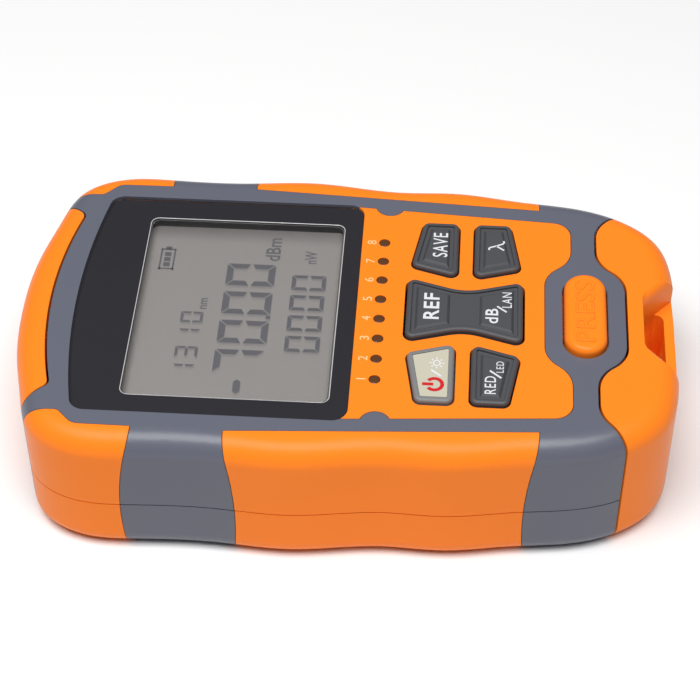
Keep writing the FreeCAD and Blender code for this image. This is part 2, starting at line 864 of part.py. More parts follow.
def network_jack(front_x, y, low):
    # A modular jack whose mouth faces -X, with the key slot of its latch below.
    back = front_x + jack_mouth_depth
    jack = block(front_x, front_x + jack_depth, y - jack_width / 2, y + jack_width / 2, low, low + jack_height)
    mouth = block(front_x - overshoot, back, y - jack_mouth_width / 2, y + jack_mouth_width / 2,
                  low + jack_mouth_low, low + jack_mouth_high)
    key = block(front_x - overshoot, back, y - jack_key_width / 2, y + jack_key_width / 2,
                low + jack_key_low, low + jack_mouth_low)
    return jack.cut([mouth, key])


def jack_contacts(front_x, y, low):
    # Sprung wires that slope down from the roof of the mouth.
    roof = low + jack_mouth_high
    back = front_x + jack_mouth_depth
    wires = []
    for index in range(wire_count):
        middle = y + (index - (wire_count - 1) / 2) * contact_pitch
        corners = [Vector(back, middle - contact_size / 2, roof - contact_drop - contact_size),
                   Vector(back, middle - contact_size / 2, roof - contact_drop),
                   Vector(back - contact_length, middle - contact_size / 2, roof),
                   Vector(back - contact_length, middle - contact_size / 2, roof - contact_size)]
        wires.append(Part.Face(Part.makePolygon(corners + corners[:1])).extrude(Vector(0, contact_size, 0)))
    return Part.makeCompound(wires)


def port_cover():
    cover = hull.common(cover_zone(0, hinge_height))
    cup = body_form(cover_wall, cover_wall, cover_wall)
    cup = cup.common(block(-far, 0, -recess_width / 2, recess_width / 2, recess_low, recess_high))
    barrel = rod_y(hinge_barrel_radius, -hinge_width / 2, hinge_width / 2, hinge_x, hinge_height).common(hull)
    lug_start = hinge_middle_width / 2
    lug_room = rod_y(hinge_barrel_radius + moving_clearance, lug_start,
                     lug_start + hinge_lug_thickness + 2 * moving_clearance, hinge_x, hinge_height)
    bore = rod_y(hinge_pin_radius + pin_clearance, -hinge_width, hinge_width, hinge_x, hinge_height)
    return cover.cut(cup).fuse(barrel).cut(both_sides(lug_room) + [bore])


def cover_hinge_pin():
    reach = hinge_middle_width / 2 + moving_clearance + hinge_lug_thickness
    return rod_y(hinge_pin_radius, -reach, reach, hinge_x, hinge_height)


# Battery bay

def battery_cells():
    cells = []
    for index in range(cell_count):
        y = (index - (cell_count - 1) / 2) * cell_pitch
        turned = index % 2
        can_left = cell_left if turned == 0 else cell_left + cell_button_length
        can = rod_x(cell_radius, can_left, can_left + cell_length, y, cell_height)
        button_left = can_left + cell_length if turned == 0 else cell_left
        button = rod_x(cell_button_radius, button_left, button_left + cell_button_length, y, cell_height)
        cells.append(can.fuse(button))
    return Part.makeCompound(cells)


def battery_contacts():
    # Bowed leaf springs press each cell against a flat plate at the other end of the bay.
    parts = []
    for index in range(cell_count):
        y = (index - (cell_count - 1) / 2) * cell_pitch
        low = cell_height - cell_radius / 2
        high = cell_height + cell_radius / 2
        middle = (low + high) / 2
        outer = Part.Arc(Vector(bay_left, y, low), Vector(cell_left, y, middle), Vector(bay_left, y, high))
        inner = Part.Arc(Vector(bay_left, y, high - contact_plate_thickness),
                         Vector(cell_left - contact_plate_thickness, y, middle),
                         Vector(bay_left, y, low + contact_plate_thickness))
        top = Part.LineSegment(Vector(bay_left, y, high), Vector(bay_left, y, high - contact_plate_thickness))
        base = Part.LineSegment(Vector(bay_left, y, low + contact_plate_thickness), Vector(bay_left, y, low))
        section = Part.Wire([outer.toShape(), top.toShape(), inner.toShape(), base.toShape()])
        leaf = Part.Face(section).extrude(Vector(0, cell_radius, 0))
        leaf.translate(Vector(0, -cell_radius / 2, 0))
        parts.append(leaf)
        parts.append(block(bay_right - contact_plate_thickness, bay_right, y - cell_radius / 2, y + cell_radius / 2,
                           low, high))
    return Part.makeCompound(parts)


def battery_door():
    half = bay_half_width + door_overlap
    door = door_form(0, 0, door_thickness)
    door = door.cut(block(-far, door_axis_x, -far, far, -far, far))
    door = door.fuse(rod_y(door_thickness / 2, -half, half, door_axis_x, door_thickness / 2))
    door = door.fuse(rod_y(door_pin_radius, -half - door_pin_length, half + door_pin_length, door_axis_x,
                           door_thickness / 2))
    grips = []
    for index in range(door_grip_count):
        x = bay_right - (index + 1) * door_grip_pitch
        grips.append(block(x - door_grip_width / 2, x + door_grip_width / 2, -door_grip_length / 2,
                           door_grip_length / 2, -overshoot, door_grip_depth))
    return door.cut(grips)


def case_screws():
    screws = []
    for x, y in posts:
        head_top = screw_head_recess + screw_head_height
        head = rod_z(screw_head_radius, screw_head_recess, head_top, x, y)
        screws.append(head.fuse(rod_z(screw_radius, head_top, head_top + screw_length, x, y)))
    return Part.makeCompound(screws)


# Release button, dock and cable remote

def release_button():
    half_x = button_size[0] / 2
    half_y = button_size[1] / 2
    head = stadium(half_x, half_y, button_underside, front + button_proud, button_x)
    head = head.makeFillet(button_edge_radius, edges_at(head, front + button_proud))
    flange_top = front_inside - flange_play
    flange = stadium(half_x + button_flange, half_y + button_flange, flange_top - button_flange_thickness,
                     flange_top, button_x)
    plunger_foot = remote_high + button_travel + moving_clearance
    plunger = rod_z(plunger_radius, plunger_foot, button_underside, button_x, 0)
    return head.fuse([flange, plunger])


def release_spring():
    low = dock_high + dock_wall + spring_wire_radius
    height = button_underside - spring_wire_radius - low
    helix = Part.makeHelix(height / spring_turns, height, spring_radius)
    ring = Part.Wire([Part.makeCircle(spring_wire_radius, Vector(spring_radius, 0, 0), Vector(0, 1, 0))])
    coil = Part.Wire(helix.Edges).makePipeShell([ring], True, True)
    coil.translate(Vector(button_x, 0, low))
    return coil


def dock_sleeve():
    outer = block(dock_left, release_end, -dock_half_width - dock_wall, dock_half_width + dock_wall,
                  dock_low - dock_wall, dock_high + dock_wall)
    inner = block(dock_left + dock_wall, release_end, -dock_half_width, dock_half_width, dock_low, dock_high)
    plunger_hole = rod_z(plunger_radius + moving_clearance, dock_high - overshoot, front, button_x, 0)
    sleeve = outer.cut([inner, plunger_hole])
    return sleeve.common(room)


def eye_section(x, half, floor):
    # The scoop's section across the body: a flat floor, and upright walls that roll out over a round lip.
    lip_top = front + eye_lip_rise
    lip_low = lip_top - eye_lip_radius
    roll = eye_lip_radius * (1 - math.sqrt(0.5))
    side = [(half, floor), (half, lip_low), (half + roll, lip_top - roll), (half + eye_lip_radius, lip_top),
            (half + eye_lip_radius, front + overshoot)]
    right = [Vector(x, y, z) for y, z in side]
    left = [Vector(x, -y, z) for y, z in side]
    edges = [Part.LineSegment(left[0], right[0]), Part.LineSegment(right[0], right[1]), Part.Arc(*right[1:4]),
             Part.LineSegment(right[3], right[4]), Part.LineSegment(right[4], left[4]),
             Part.LineSegment(left[4], left[3]), Part.Arc(left[3], left[2], left[1]),
             Part.LineSegment(left[1], left[0])]
    return Part.Wire([edge.toShape() for edge in edges])


def eye_scoop(floor):
    beyond = release_end + eye_start_inset
    beyond_width = 2 * eye_outer_width - eye_inner_width
    sections = [eye_section(eye_start, eye_inner_width / 2, floor),
                eye_section(beyond, beyond_width / 2, floor)]
    scoop = Part.makeLoft(sections, True, True)
    inner_edges = [edge for edge in scoop.Edges if edge.BoundBox.XMax < eye_start + tolerance
                   and edge.BoundBox.ZLength > tolerance]
    return scoop.makeFillet(eye_corner_radius, inner_edges)


def eye_cuts():
    # A flared scoop in the remote's end, its deeper part behind the bar, and the window below the bar.
    bar_bottom = eye_floor - eye_bar_height
    window_bottom = bar_bottom - eye_window_height
    slot = block(eye_start - overshoot, release_end - eye_bar_thickness, -eye_slot_width / 2, eye_slot_width / 2,
                 window_bottom, eye_floor + overshoot)
    slot_corners = [edge for edge in slot.Edges if edge.BoundBox.XMin > eye_start
                    and edge.BoundBox.ZLength > tolerance]
    slot = slot.makeFillet(eye_corner_radius, slot_corners)
    window = block(eye_start, 2 * release_end, -eye_window_width / 2, eye_window_width / 2,
                   window_bottom, bar_bottom)
    return [eye_scoop(eye_floor), eye_scoop(window_bottom).common(slot), window]


def remote_cap():
    cap = hull.cut(release_zone(seam_gap))
    return cap.cut([remote_room()] + eye_cuts())


def remote_room():
    room_limit = release_end - remote_hollow_inset
    inside = hollow.cut(release_zone(seam_gap - overshoot))
    return inside.common(block(-far, room_limit, -far, far, -far, far))


def remote_body():
    half = remote_width / 2
    bulkhead = remote_room().common(release_zone(seam_gap + remote_bulkhead)).cut(release_zone(seam_gap))
    plug = block(remote_left, release_end - remote_hollow_inset, -half, half, remote_low, remote_high)
    body = bulkhead.fuse(plug)
    chamber = block(remote_left - overshoot, release_end - remote_hollow_inset - remote_wall, -half + remote_wall,
                    half - remote_wall, remote_low + remote_wall, remote_high - remote_wall)
    tongue_left = remote_left + jack_depth + tongue_start
    slit = block(tongue_left - tongue_slit, tongue_left + tongue_length, -tongue_width / 2 - tongue_slit,
                 tongue_width / 2 + tongue_slit, remote_high - remote_wall - overshoot, remote_high + overshoot)
    tongue = block(tongue_left, tongue_left + tongue_length, -tongue_width / 2, tongue_width / 2,
                   remote_high - remote_wall - tongue_drop, remote_high - tongue_drop)
    heel = block(tongue_left + tongue_length - remote_wall, tongue_left + tongue_length + remote_wall,
                 -tongue_width / 2, tongue_width / 2, remote_high - remote_wall - tongue_drop, remote_high)
    tooth = block(tongue_left, tongue_left + tooth_length, -tongue_width / 2, tongue_width / 2,
                  remote_high - tongue_drop, remote_high)
    return body.cut([chamber, slit]).fuse([tongue, heel, tooth])


def remote_board():
    left = remote_left + jack_depth
    return block(left, left + board_thickness, -remote_width / 2 + remote_wall, remote_width / 2 - remote_wall,
                 remote_low + remote_wall, remote_high - 2 * remote_wall - tongue_drop - remote_board_gap)


print("body form")
hull = body_form(0, 0, 0)
bumper_core = body_form(bumper_depth, bumper_depth, bumper_depth)
hollow = body_form(side_wall, rear_wall, front_wall)
hinge_groove = rod_y(hinge_groove_radius, -hinge_width / 2 - seam_gap, hinge_width / 2 + seam_gap,
                     hinge_x, hinge_height)
body_hull = hull.common(release_zone(0))
body_hull = body_hull.cut([cover_zone(seam_gap, hinge_height - moving_clearance), hinge_groove])
parting_line = block(-far, far, -far, far, parting_height - parting_groove_height / 2,
                     parting_height + parting_groove_height / 2)
parting_line = parting_line.cut(prism(outline_wire(parting_groove_depth), 0, front))
upper_half = block(-far, far, -far, far, parting_height, 2 * front)
lower_half = block(-far, far, -far, far, -front, parting_height)
bumper_all = body_hull.common(grip_zone(0)).cut(bumper_core)
shell_all = body_hull.cut(grip_zone(bumper_line).cut(bumper_core))
room = body_hollow()

pieces = {
    "front_shell": front_shell(),
    "front_bumper": front_bumper(),
    "rear_shell": rear_shell(),
    "rear_bumper": rear_bumper(),
    "display_window": display_window(),
    "window_mask": window_mask(),
    "lcd_gasket": lcd_gasket(),
    "lcd_panel": lcd_panel(),
    "backlight_plate": backlight_plate(),
    "lcd_holder": lcd_holder(),
    "lcd_connector": lcd_connector(),
    "main_board": main_board(),
    "indicator_lamps": indicator_lamps(),
    "key_switches": key_switches(),
    "store_key": side_key(side_keys["store_key"]),
    "wavelength_key": side_key(side_keys["wavelength_key"]),
    "light_key": side_key(side_keys["light_key"]),
    "power_key": power_key(),
    "power_key_plate": power_key_plate(),
    "rocker_key": rocker_key(),
    "port_plate": port_plate(),
    "meter_adapter": fibre_adapter(meter_port_y),
    "photodiode": behind_adapter(photodiode_radius, photodiode_length, meter_port_y),
    "laser_adapter": fibre_adapter(laser_port_y),
    "laser_module": behind_adapter(laser_radius, laser_length, laser_port_y),
    "torch_lamp": torch_lamp(),
    "network_jack": network_jack(port_wall_x, jack_y, jack_low),
    "network_jack_contacts": jack_contacts(port_wall_x, jack_y, jack_low),
    "port_cover": port_cover(),
    "cover_hinge_pin": cover_hinge_pin(),
    "battery_door": battery_door(),
    "battery_cells": battery_cells(),
    "battery_contacts": battery_contacts(),
    "case_screws": case_screws(),
    "release_button": release_button(),
    "release_spring": release_spring(),
    "dock_sleeve": dock_sleeve(),
    "remote_cap": remote_cap(),
    "remote_body": remote_body(),
    "remote_jack": network_jack(remote_left, 0, remote_low + remote_wall),
    "remote_jack_contacts": jack_contacts(remote_left, 0, remote_low + remote_wall),
    "remote_board": remote_board(),
}

os.makedirs("parts", exist_ok=True)
for name, shape in pieces.items():
    shape.exportStep("parts/" + name + ".step")
    print(name, shape.isValid(), len(shape.Solids), round(shape.Volume, 1))
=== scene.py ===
import math
import bpy
from mathutils import Matrix, Vector


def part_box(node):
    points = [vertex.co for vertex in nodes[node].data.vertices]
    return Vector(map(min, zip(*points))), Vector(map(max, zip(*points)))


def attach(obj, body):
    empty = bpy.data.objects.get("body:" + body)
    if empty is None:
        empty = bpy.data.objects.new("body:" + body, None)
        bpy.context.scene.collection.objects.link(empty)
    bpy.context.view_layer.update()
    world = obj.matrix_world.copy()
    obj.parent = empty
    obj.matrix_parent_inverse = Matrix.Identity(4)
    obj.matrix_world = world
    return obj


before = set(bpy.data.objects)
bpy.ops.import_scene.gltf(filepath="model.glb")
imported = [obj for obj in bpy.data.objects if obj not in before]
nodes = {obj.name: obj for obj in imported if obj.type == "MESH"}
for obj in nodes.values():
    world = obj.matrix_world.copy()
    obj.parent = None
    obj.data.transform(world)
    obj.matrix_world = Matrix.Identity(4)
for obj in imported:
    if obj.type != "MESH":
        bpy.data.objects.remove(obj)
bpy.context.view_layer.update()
mm = 0.001
print("frame loaded, nodes:", len(nodes))


# shared surface effects

def newGroup(name, kind, inputs, outputs):
    tree = bpy.data.node_groups.new(name, kind)
    for label, socketType, value in inputs:
        socket = tree.interface.new_socket(label, in_out="INPUT", socket_type=socketType)
        if value is not None:
            socket.default_value = value
    for label, socketType in outputs:
        tree.interface.new_socket(label, in_out="OUTPUT", socket_type=socketType)
    return tree, tree.nodes.new("NodeGroupInput"), tree.nodes.new("NodeGroupOutput")


def newMaterial(name):
    material = bpy.data.materials.new(name)
    material.use_nodes = True
    return material, material.node_tree.nodes["Principled BSDF"]


# sockets of the Mix node when it mixes colours
mixShare = 0
mixFirst = 6
mixSecond = 7
mixResult = 2

mouldGrain = {"scale": 5000.0, "detail": 3.0}
mouldCloud = {"scale": 40.0, "detail": 4.0, "roughness": 0.6}


def mouldedSkinGroup():
    # fine mould grain and a slow cloudy change of tone
    tree, start, end = newGroup("mouldedSkin", "ShaderNodeTree",
                                [("Vector", "NodeSocketVector", None),
                                 ("Grain Scale", "NodeSocketFloat", mouldGrain["scale"]),
                                 ("Cloud Scale", "NodeSocketFloat", mouldCloud["scale"])],
                                [("Grain", "NodeSocketFloat"), ("Cloud", "NodeSocketFloat")])
    grain = tree.nodes.new("ShaderNodeTexNoise")
    grain.inputs["Detail"].default_value = mouldGrain["detail"]
    cloud = tree.nodes.new("ShaderNodeTexNoise")
    cloud.inputs["Detail"].default_value = mouldCloud["detail"]
    cloud.inputs["Roughness"].default_value = mouldCloud["roughness"]
    for noise, scale, out in ((grain, "Grain Scale", "Grain"), (cloud, "Cloud Scale", "Cloud")):
        tree.links.new(start.outputs["Vector"], noise.inputs["Vector"])
        tree.links.new(start.outputs[scale], noise.inputs["Scale"])
        tree.links.new(noise.outputs["Fac"], end.inputs[out])
    return tree


skinGroup = mouldedSkinGroup()
glossCloud = (0.3, 0.7)
edgeSamples = 4


def skinMaterial(name, look):
    # colour pair, roughness pair, grain and a small rounding of sharp edges
    material, shader = newMaterial(name)
    tree = material.node_tree
    shader.inputs["Metallic"].default_value = look.get("metallic", 0.0)
    shader.inputs["Specular IOR Level"].default_value = look.get("specular", 0.5)
    shader.inputs["Coat Weight"].default_value = look.get("coat", 0.0)
    place = tree.nodes.new("ShaderNodeTexCoord")
    skin = tree.nodes.new("ShaderNodeGroup")
    skin.node_tree = skinGroup
    skin.inputs["Grain Scale"].default_value = look["grainScale"]
    skin.inputs["Cloud Scale"].default_value = look["cloudScale"]
    tint = tree.nodes.new("ShaderNodeMix")
    tint.data_type = "RGBA"
    tint.inputs[mixFirst].default_value = (*look["colour"], 1.0)
    tint.inputs[mixSecond].default_value = (*look["shade"], 1.0)
    gloss = tree.nodes.new("ShaderNodeMapRange")
    gloss.inputs["From Min"].default_value = glossCloud[0]
    gloss.inputs["From Max"].default_value = glossCloud[1]
    gloss.inputs["To Min"].default_value = look["roughness"][0]
    gloss.inputs["To Max"].default_value = look["roughness"][1]
    edge = tree.nodes.new("ShaderNodeBevel")
    edge.samples = edgeSamples
    edge.inputs["Radius"].default_value = look["edge"]
    bump = tree.nodes.new("ShaderNodeBump")
    bump.inputs["Strength"].default_value = look["grainStrength"]
    bump.inputs["Distance"].default_value = look["grainDepth"]
    tree.links.new(place.outputs["Object"], skin.inputs["Vector"])
    tree.links.new(skin.outputs["Cloud"], tint.inputs[mixShare])
    tree.links.new(skin.outputs["Cloud"], gloss.inputs["Value"])
    tree.links.new(skin.outputs["Grain"], bump.inputs["Height"])
    tree.links.new(edge.outputs["Normal"], bump.inputs["Normal"])
    tree.links.new(tint.outputs[mixResult], shader.inputs["Base Color"])
    tree.links.new(gloss.outputs["Result"], shader.inputs["Roughness"])
    tree.links.new(bump.outputs["Normal"], shader.inputs["Normal"])
    return material


orangeShell = {"colour": (0.95, 0.225, 0.016), "shade": (0.92, 0.212, 0.015), "roughness": (0.32, 0.40),
               "grainScale": 5200.0, "cloudScale": 35.0, "grainStrength": 0.18, "grainDepth": 0.00004,
               "edge": 0.00018, "specular": 0.14}
greyOvermould = {"colour": (0.116, 0.122, 0.157), "shade": (0.108, 0.114, 0.147), "roughness": (0.28, 0.36),
                 "grainScale": 6400.0, "cloudScale": 45.0, "grainStrength": 0.22, "grainDepth": 0.00004,
                 "edge": 0.00018, "specular": 0.34}
keyRubber = {"colour": (0.062, 0.063, 0.070), "shade": (0.056, 0.057, 0.064), "roughness": (0.50, 0.60),
             "grainScale": 7500.0, "cloudScale": 120.0, "grainStrength": 0.3, "grainDepth": 0.00004,
             "edge": 0.00025}
powerRim = dict(keyRubber, colour=(0.185, 0.186, 0.190), shade=(0.170, 0.171, 0.175))
creamPlate = {"colour": (0.51, 0.485, 0.385), "shade": (0.49, 0.465, 0.365), "roughness": (0.30, 0.40),
              "grainScale": 4000.0, "cloudScale": 90.0, "grainStrength": 0.05, "grainDepth": 0.00003,
              "edge": 0.0001}
blackPrint = {"colour": (0.025, 0.0242, 0.029), "shade": (0.023, 0.0222, 0.027), "roughness": (0.40, 0.46),
              "grainScale": 900.0, "cloudScale": 40.0, "grainStrength": 0.0, "grainDepth": 0.00002,
              "edge": 0.0, "specular": 0.1}
darkFoam = {"colour": (0.052, 0.050, 0.051), "shade": (0.044, 0.042, 0.043), "roughness": (0.80, 0.92),
            "grainScale": 5200.0, "cloudScale": 300.0, "grainStrength": 0.5, "grainDepth": 0.00006,
            "edge": 0.0001, "specular": 0.2}
displayGrey = {"colour": (0.218, 0.204, 0.195), "shade": (0.210, 0.197, 0.188), "roughness": (0.42, 0.50),
               "grainScale": 9000.0, "cloudScale": 30.0, "grainStrength": 0.04, "grainDepth": 0.00002,
               "edge": 0.0001}
milkPlastic = {"colour": (0.74, 0.74, 0.72), "shade": (0.70, 0.70, 0.68), "roughness": (0.40, 0.50),
               "grainScale": 5000.0, "cloudScale": 60.0, "grainStrength": 0.1, "grainDepth": 0.00003,
               "edge": 0.00015}
lampLens = {"colour": (0.104, 0.040, 0.016), "shade": (0.090, 0.034, 0.013), "roughness": (0.22, 0.30),
            "grainScale": 3000.0, "cloudScale": 200.0, "grainStrength": 0.02, "grainDepth": 0.00002,
            "edge": 0.00012}
blackPlastic = {"colour": (0.022, 0.022, 0.024), "shade": (0.018, 0.018, 0.020), "roughness": (0.40, 0.52),
                "grainScale": 5600.0, "cloudScale": 60.0, "grainStrength": 0.2, "grainDepth": 0.00004,
                "edge": 0.00015}
nickelPlate = {"colour": (0.66, 0.64, 0.60), "shade": (0.60, 0.58, 0.54), "roughness": (0.18, 0.30),
               "grainScale": 2600.0, "cloudScale": 150.0, "grainStrength": 0.05, "grainDepth": 0.00002,
               "edge": 0.00015, "metallic": 1.0}
brassPlate = dict(nickelPlate, colour=(0.80, 0.56, 0.22), shade=(0.72, 0.48, 0.18))
brightSteel = dict(nickelPlate, colour=(0.56, 0.56, 0.57), shade=(0.48, 0.48, 0.49), roughness=(0.26, 0.38))

skinLooks = {
    "orangeShell": (orangeShell, ["front_shell", "rear_shell", "port_cover", "battery_door",
                                  "release_button", "remote_cap"]),
    "greyOvermould": (greyOvermould, ["front_bumper", "rear_bumper"]),
    "keyRubber": (keyRubber, ["store_key", "wavelength_key", "light_key", "rocker_key"]),
    "powerRim": (powerRim, ["power_key"]),
    "creamPlate": (creamPlate, ["power_key_plate"]),
    "blackPrint": (blackPrint, ["window_mask"]),
    "darkFoam": (darkFoam, ["lcd_gasket"]),
    "displayGrey": (displayGrey, ["lcd_panel"]),
    "milkPlastic": (milkPlastic, ["backlight_plate", "lcd_holder"]),
    "lampLens": (lampLens, ["indicator_lamps"]),
    "blackPlastic": (blackPlastic, ["key_switches", "port_plate", "network_jack", "dock_sleeve",
                                    "remote_body", "remote_jack"]),
    "nickelPlate": (nickelPlate, ["meter_adapter", "laser_adapter"]),
    "brassPlate": (brassPlate, ["laser_module", "network_jack_contacts", "remote_jack_contacts"]),
    "brightSteel": (brightSteel, ["photodiode", "cover_hinge_pin", "battery_contacts", "case_screws",
                                  "release_spring"]),
}


def dress(nodeName, material):
    mesh = nodes[nodeName].data
    mesh.materials.clear()
    mesh.materials.append(material)


skins = {}
for skinName, (look, wearers) in skinLooks.items():
    skins[skinName] = skinMaterial(skinName, look)
    for wearer in wearers:
        dress(wearer, skins[skinName])
print("moulded, plated and printed finishes:", len(skins))


def addPaintedEdgeShadow(material, shade):
    # painted shadow: darkens the colour towards one long edge of the piece
    tree = material.node_tree
    shader = tree.nodes["Principled BSDF"]
    plain = shader.inputs["Base Color"].links[0].from_socket
    place = tree.nodes.new("ShaderNodeTexCoord")
    axes = tree.nodes.new("ShaderNodeSeparateXYZ")
    fall = tree.nodes.new("ShaderNodeMapRange")
    fall.interpolation_type = "SMOOTHSTEP"
    fall.inputs["From Min"].default_value = shade["start"] * mm
    fall.inputs["From Max"].default_value = shade["stop"] * mm
    fall.inputs["To Min"].default_value = 0.0
    fall.inputs["To Max"].default_value = shade["depth"]
    darken = tree.nodes.new("ShaderNodeMix")
    darken.data_type = "RGBA"
    darken.inputs[mixSecond].default_value = (*shade["colour"], 1.0)
    tree.links.new(place.outputs["Object"], axes.inputs["Vector"])
    tree.links.new(axes.outputs["Y"], fall.inputs["Value"])
    tree.links.new(fall.outputs["Result"], darken.inputs[mixShare])
    tree.links.new(plain, darken.inputs[mixFirst])
    tree.links.new(darken.outputs[mixResult], shader.inputs["Base Color"])


# painted shadow along the far edge of the display, where the wall of the window's opening shades it
farEdgePaintedShadow = {"start": 18.5, "stop": 22.6, "depth": 0.75, "colour": (0.105, 0.098, 0.097)}
addPaintedEdgeShadow(skins["displayGrey"], farEdgePaintedShadow)


# clear window and torch lens

def clearMaterial(name, look):
    # shadow rays and diffuse rays pass straight through
    material, shader = newMaterial(name)
    tree = material.node_tree
    shader.inputs["Base Color"].default_value = (*look["colour"], 1.0)
    shader.inputs["Roughness"].default_value = look["roughness"]
    shader.inputs["IOR"].default_value = look["ior"]
    shader.inputs["Transmission Weight"].default_value = 1.0
    through = tree.nodes.new("ShaderNodeBsdfTransparent")
    path = tree.nodes.new("ShaderNodeLightPath")
    straight = tree.nodes.new("ShaderNodeMath")
    straight.operation = "MAXIMUM"
    mix = tree.nodes.new("ShaderNodeMixShader")
    out = tree.nodes["Material Output"]
    tree.links.new(path.outputs["Is Shadow Ray"], straight.inputs[0])
    tree.links.new(path.outputs["Is Diffuse Ray"], straight.inputs[1])
    tree.links.new(straight.outputs["Value"], mix.inputs["Fac"])
    tree.links.new(shader.outputs["BSDF"], mix.inputs[1])
    tree.links.new(through.outputs["BSDF"], mix.inputs[2])
    tree.links.new(mix.outputs["Shader"], out.inputs["Surface"])
    return material


windowClear = {"colour": (0.98, 0.985, 0.99), "roughness": 0.03, "ior": 1.22}
torchClear = {"colour": (0.95, 0.97, 1.0), "roughness": 0.06, "ior": 1.45}
dress("display_window", clearMaterial("windowClear", windowClear))
dress("torch_lamp", clearMaterial("torchClear", torchClear))


# board lacquer, cell wrap and display connector

stripeDetail = 3.0
stripeBlur = 0.03


def stripeMaterial(name, look):
    # two colours in turn along one axis of the piece
    material, shader = newMaterial(name)
    tree = material.node_tree
    shader.inputs["Roughness"].default_value = look["roughness"]
    place = tree.nodes.new("ShaderNodeTexCoord")
    wave = tree.nodes.new("ShaderNodeTexWave")
    wave.bands_direction = look["along"]
    wave.inputs["Scale"].default_value = look["scale"]
    wave.inputs["Distortion"].default_value = look["wander"]
    wave.inputs["Detail Scale"].default_value = stripeDetail
    ramp = tree.nodes.new("ShaderNodeValToRGB")
    ramp.color_ramp.elements[0].position = look["split"] - stripeBlur
    ramp.color_ramp.elements[1].position = look["split"] + stripeBlur
    ramp.color_ramp.elements[0].color = (*look["dark"], 1.0)
    ramp.color_ramp.elements[1].color = (*look["light"], 1.0)
    tree.links.new(place.outputs["Object"], wave.inputs["Vector"])
    tree.links.new(wave.outputs["Fac"], ramp.inputs["Fac"])
    tree.links.new(ramp.outputs["Color"], shader.inputs["Base Color"])
    return material


boardLacquer = {"dark": (0.008, 0.075, 0.028), "light": (0.016, 0.125, 0.045), "along": "DIAGONAL",
                "scale": 130.0, "wander": 9.0, "split": 0.62, "roughness": 0.34}
layeredRubber = {"dark": (0.05, 0.05, 0.05), "light": (0.52, 0.20, 0.22), "along": "Z", "scale": 800.0,
                 "wander": 0.0, "split": 0.5, "roughness": 0.6}
cellWrap = {"dark": (0.016, 0.018, 0.020), "light": (0.50, 0.28, 0.10), "along": "X", "scale": 7.2,
            "wander": 0.0, "split": 0.88, "roughness": 0.3}
boardMaterial = stripeMaterial("boardLacquer", boardLacquer)
dress("main_board", boardMaterial)
dress("remote_board", boardMaterial)
dress("lcd_connector", stripeMaterial("layeredRubber", layeredRubber))
dress("battery_cells", stripeMaterial("cellWrap", cellWrap))
print("clear, lacquered and wrapped finishes done")


# inks

def inkMaterial(name, colour, roughness):
    material, shader = newMaterial(name)
    shader.inputs["Base Color"].default_value = (*colour, 1.0)
    shader.inputs["Roughness"].default_value = roughness
    return material


whiteInk = inkMaterial("whiteInk", (0.66, 0.665, 0.70), 0.5)
paleInk = inkMaterial("paleInk", (0.94, 0.53, 0.26), 0.5)
redInk = inkMaterial("redInk", (0.53, 0.014, 0.022), 0.4)
displayInk = inkMaterial("displayInk", (0.085, 0.084, 0.093), 0.45)
nearShadow = inkMaterial("nearShadow", (0.165, 0.155, 0.150), 0.45)
farShadow = inkMaterial("farShadow", (0.190, 0.178, 0.171), 0.45)
# near-black ink for painted shade in recesses: the gap round the window and the screw crosses
recessShadeDark = inkMaterial("recessShadeDark", (0.012, 0.012, 0.013), 0.6)
# dark grey for painted shade in the groove round the viewing area
grooveShadeGrey = inkMaterial("grooveShadeGrey", (0.070, 0.067, 0.067), 0.6)
# darker orange for painted shade in the creases round the raised letters on the release button
creaseShadeOrange = inkMaterial("creaseShadeOrange", (0.84, 0.178, 0.010), 0.5)
# pale glossy grey for the painted highlight on the edge of the viewing area
bevelHighlight = inkMaterial("bevelHighlight", (0.62, 0.61, 0.61), 0.22)


def addPiece(name, mesh, material, body):
    mesh.materials.clear()
    mesh.materials.append(material)
    piece = bpy.data.objects.new(name, mesh)
    bpy.context.scene.collection.objects.link(piece)
    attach(piece, body)
    return piece


def readToPart(reading, centre, level):
    # reading runs along +Y and its top points to -X
    return Vector((centre[0] - reading[1], centre[1] + reading[0], level)) * mm


def flatPiece(name, polygons, centre, level, material, body):
    points = []
    faces = []
    for polygon in polygons:
        faces.append(list(range(len(points), len(points) + len(polygon))))
        points += [readToPart(corner, centre, level) for corner in polygon]
    mesh = bpy.data.meshes.new(name)
    mesh.from_pydata(points, [], faces)
    return addPiece(name, mesh, material, body)


def ribbon(points, wide, closed):
    # quads of one width along a line of reading points
    count = len(points)
    spans = count if closed else count - 1
    sides = []
    for index in range(count):
        before = Vector(points[index - 1 if closed or index else index])
        after = Vector(points[(index + 1) % count if closed or index < count - 1 else index])
        along = (after - before).normalized()
        across = Vector((-along.y, along.x)) * wide / 2
        here = Vector(points[index])
        sides.append((here - across, here + across))
    quads = []
    for index in range(spans):
        low, high = sides[index]
        nextLow, nextHigh = sides[(index + 1) % count]
        quads.append([tuple(low), tuple(nextLow), tuple(nextHigh), tuple(high)])
    return quads


def arcPoints(radius, first, last, count):
    turns = [math.radians(first + (last - first) * step / (count - 1)) for step in range(count)]
    return [(radius * math.cos(turn), radius * math.sin(turn)) for turn in turns]


letterSteps = 5


def wordMesh(legend):
    curve = bpy.data.curves.new("word", "FONT")
    curve.body = legend["words"]
    curve.offset = legend.get("bold", 0.0)
    curve.extrude = legend.get("raised", 0.0)
    curve.space_character = legend.get("spacing", 1.0)
    curve.resolution_u = letterSteps
    holder = bpy.data.objects.new("word", curve)
    bpy.context.scene.collection.objects.link(holder)
    evaluated = holder.evaluated_get(bpy.context.evaluated_depsgraph_get())
    mesh = bpy.data.meshes.new_from_object(evaluated)
    bpy.data.objects.remove(holder)
    bpy.data.curves.remove(curve)
    return mesh


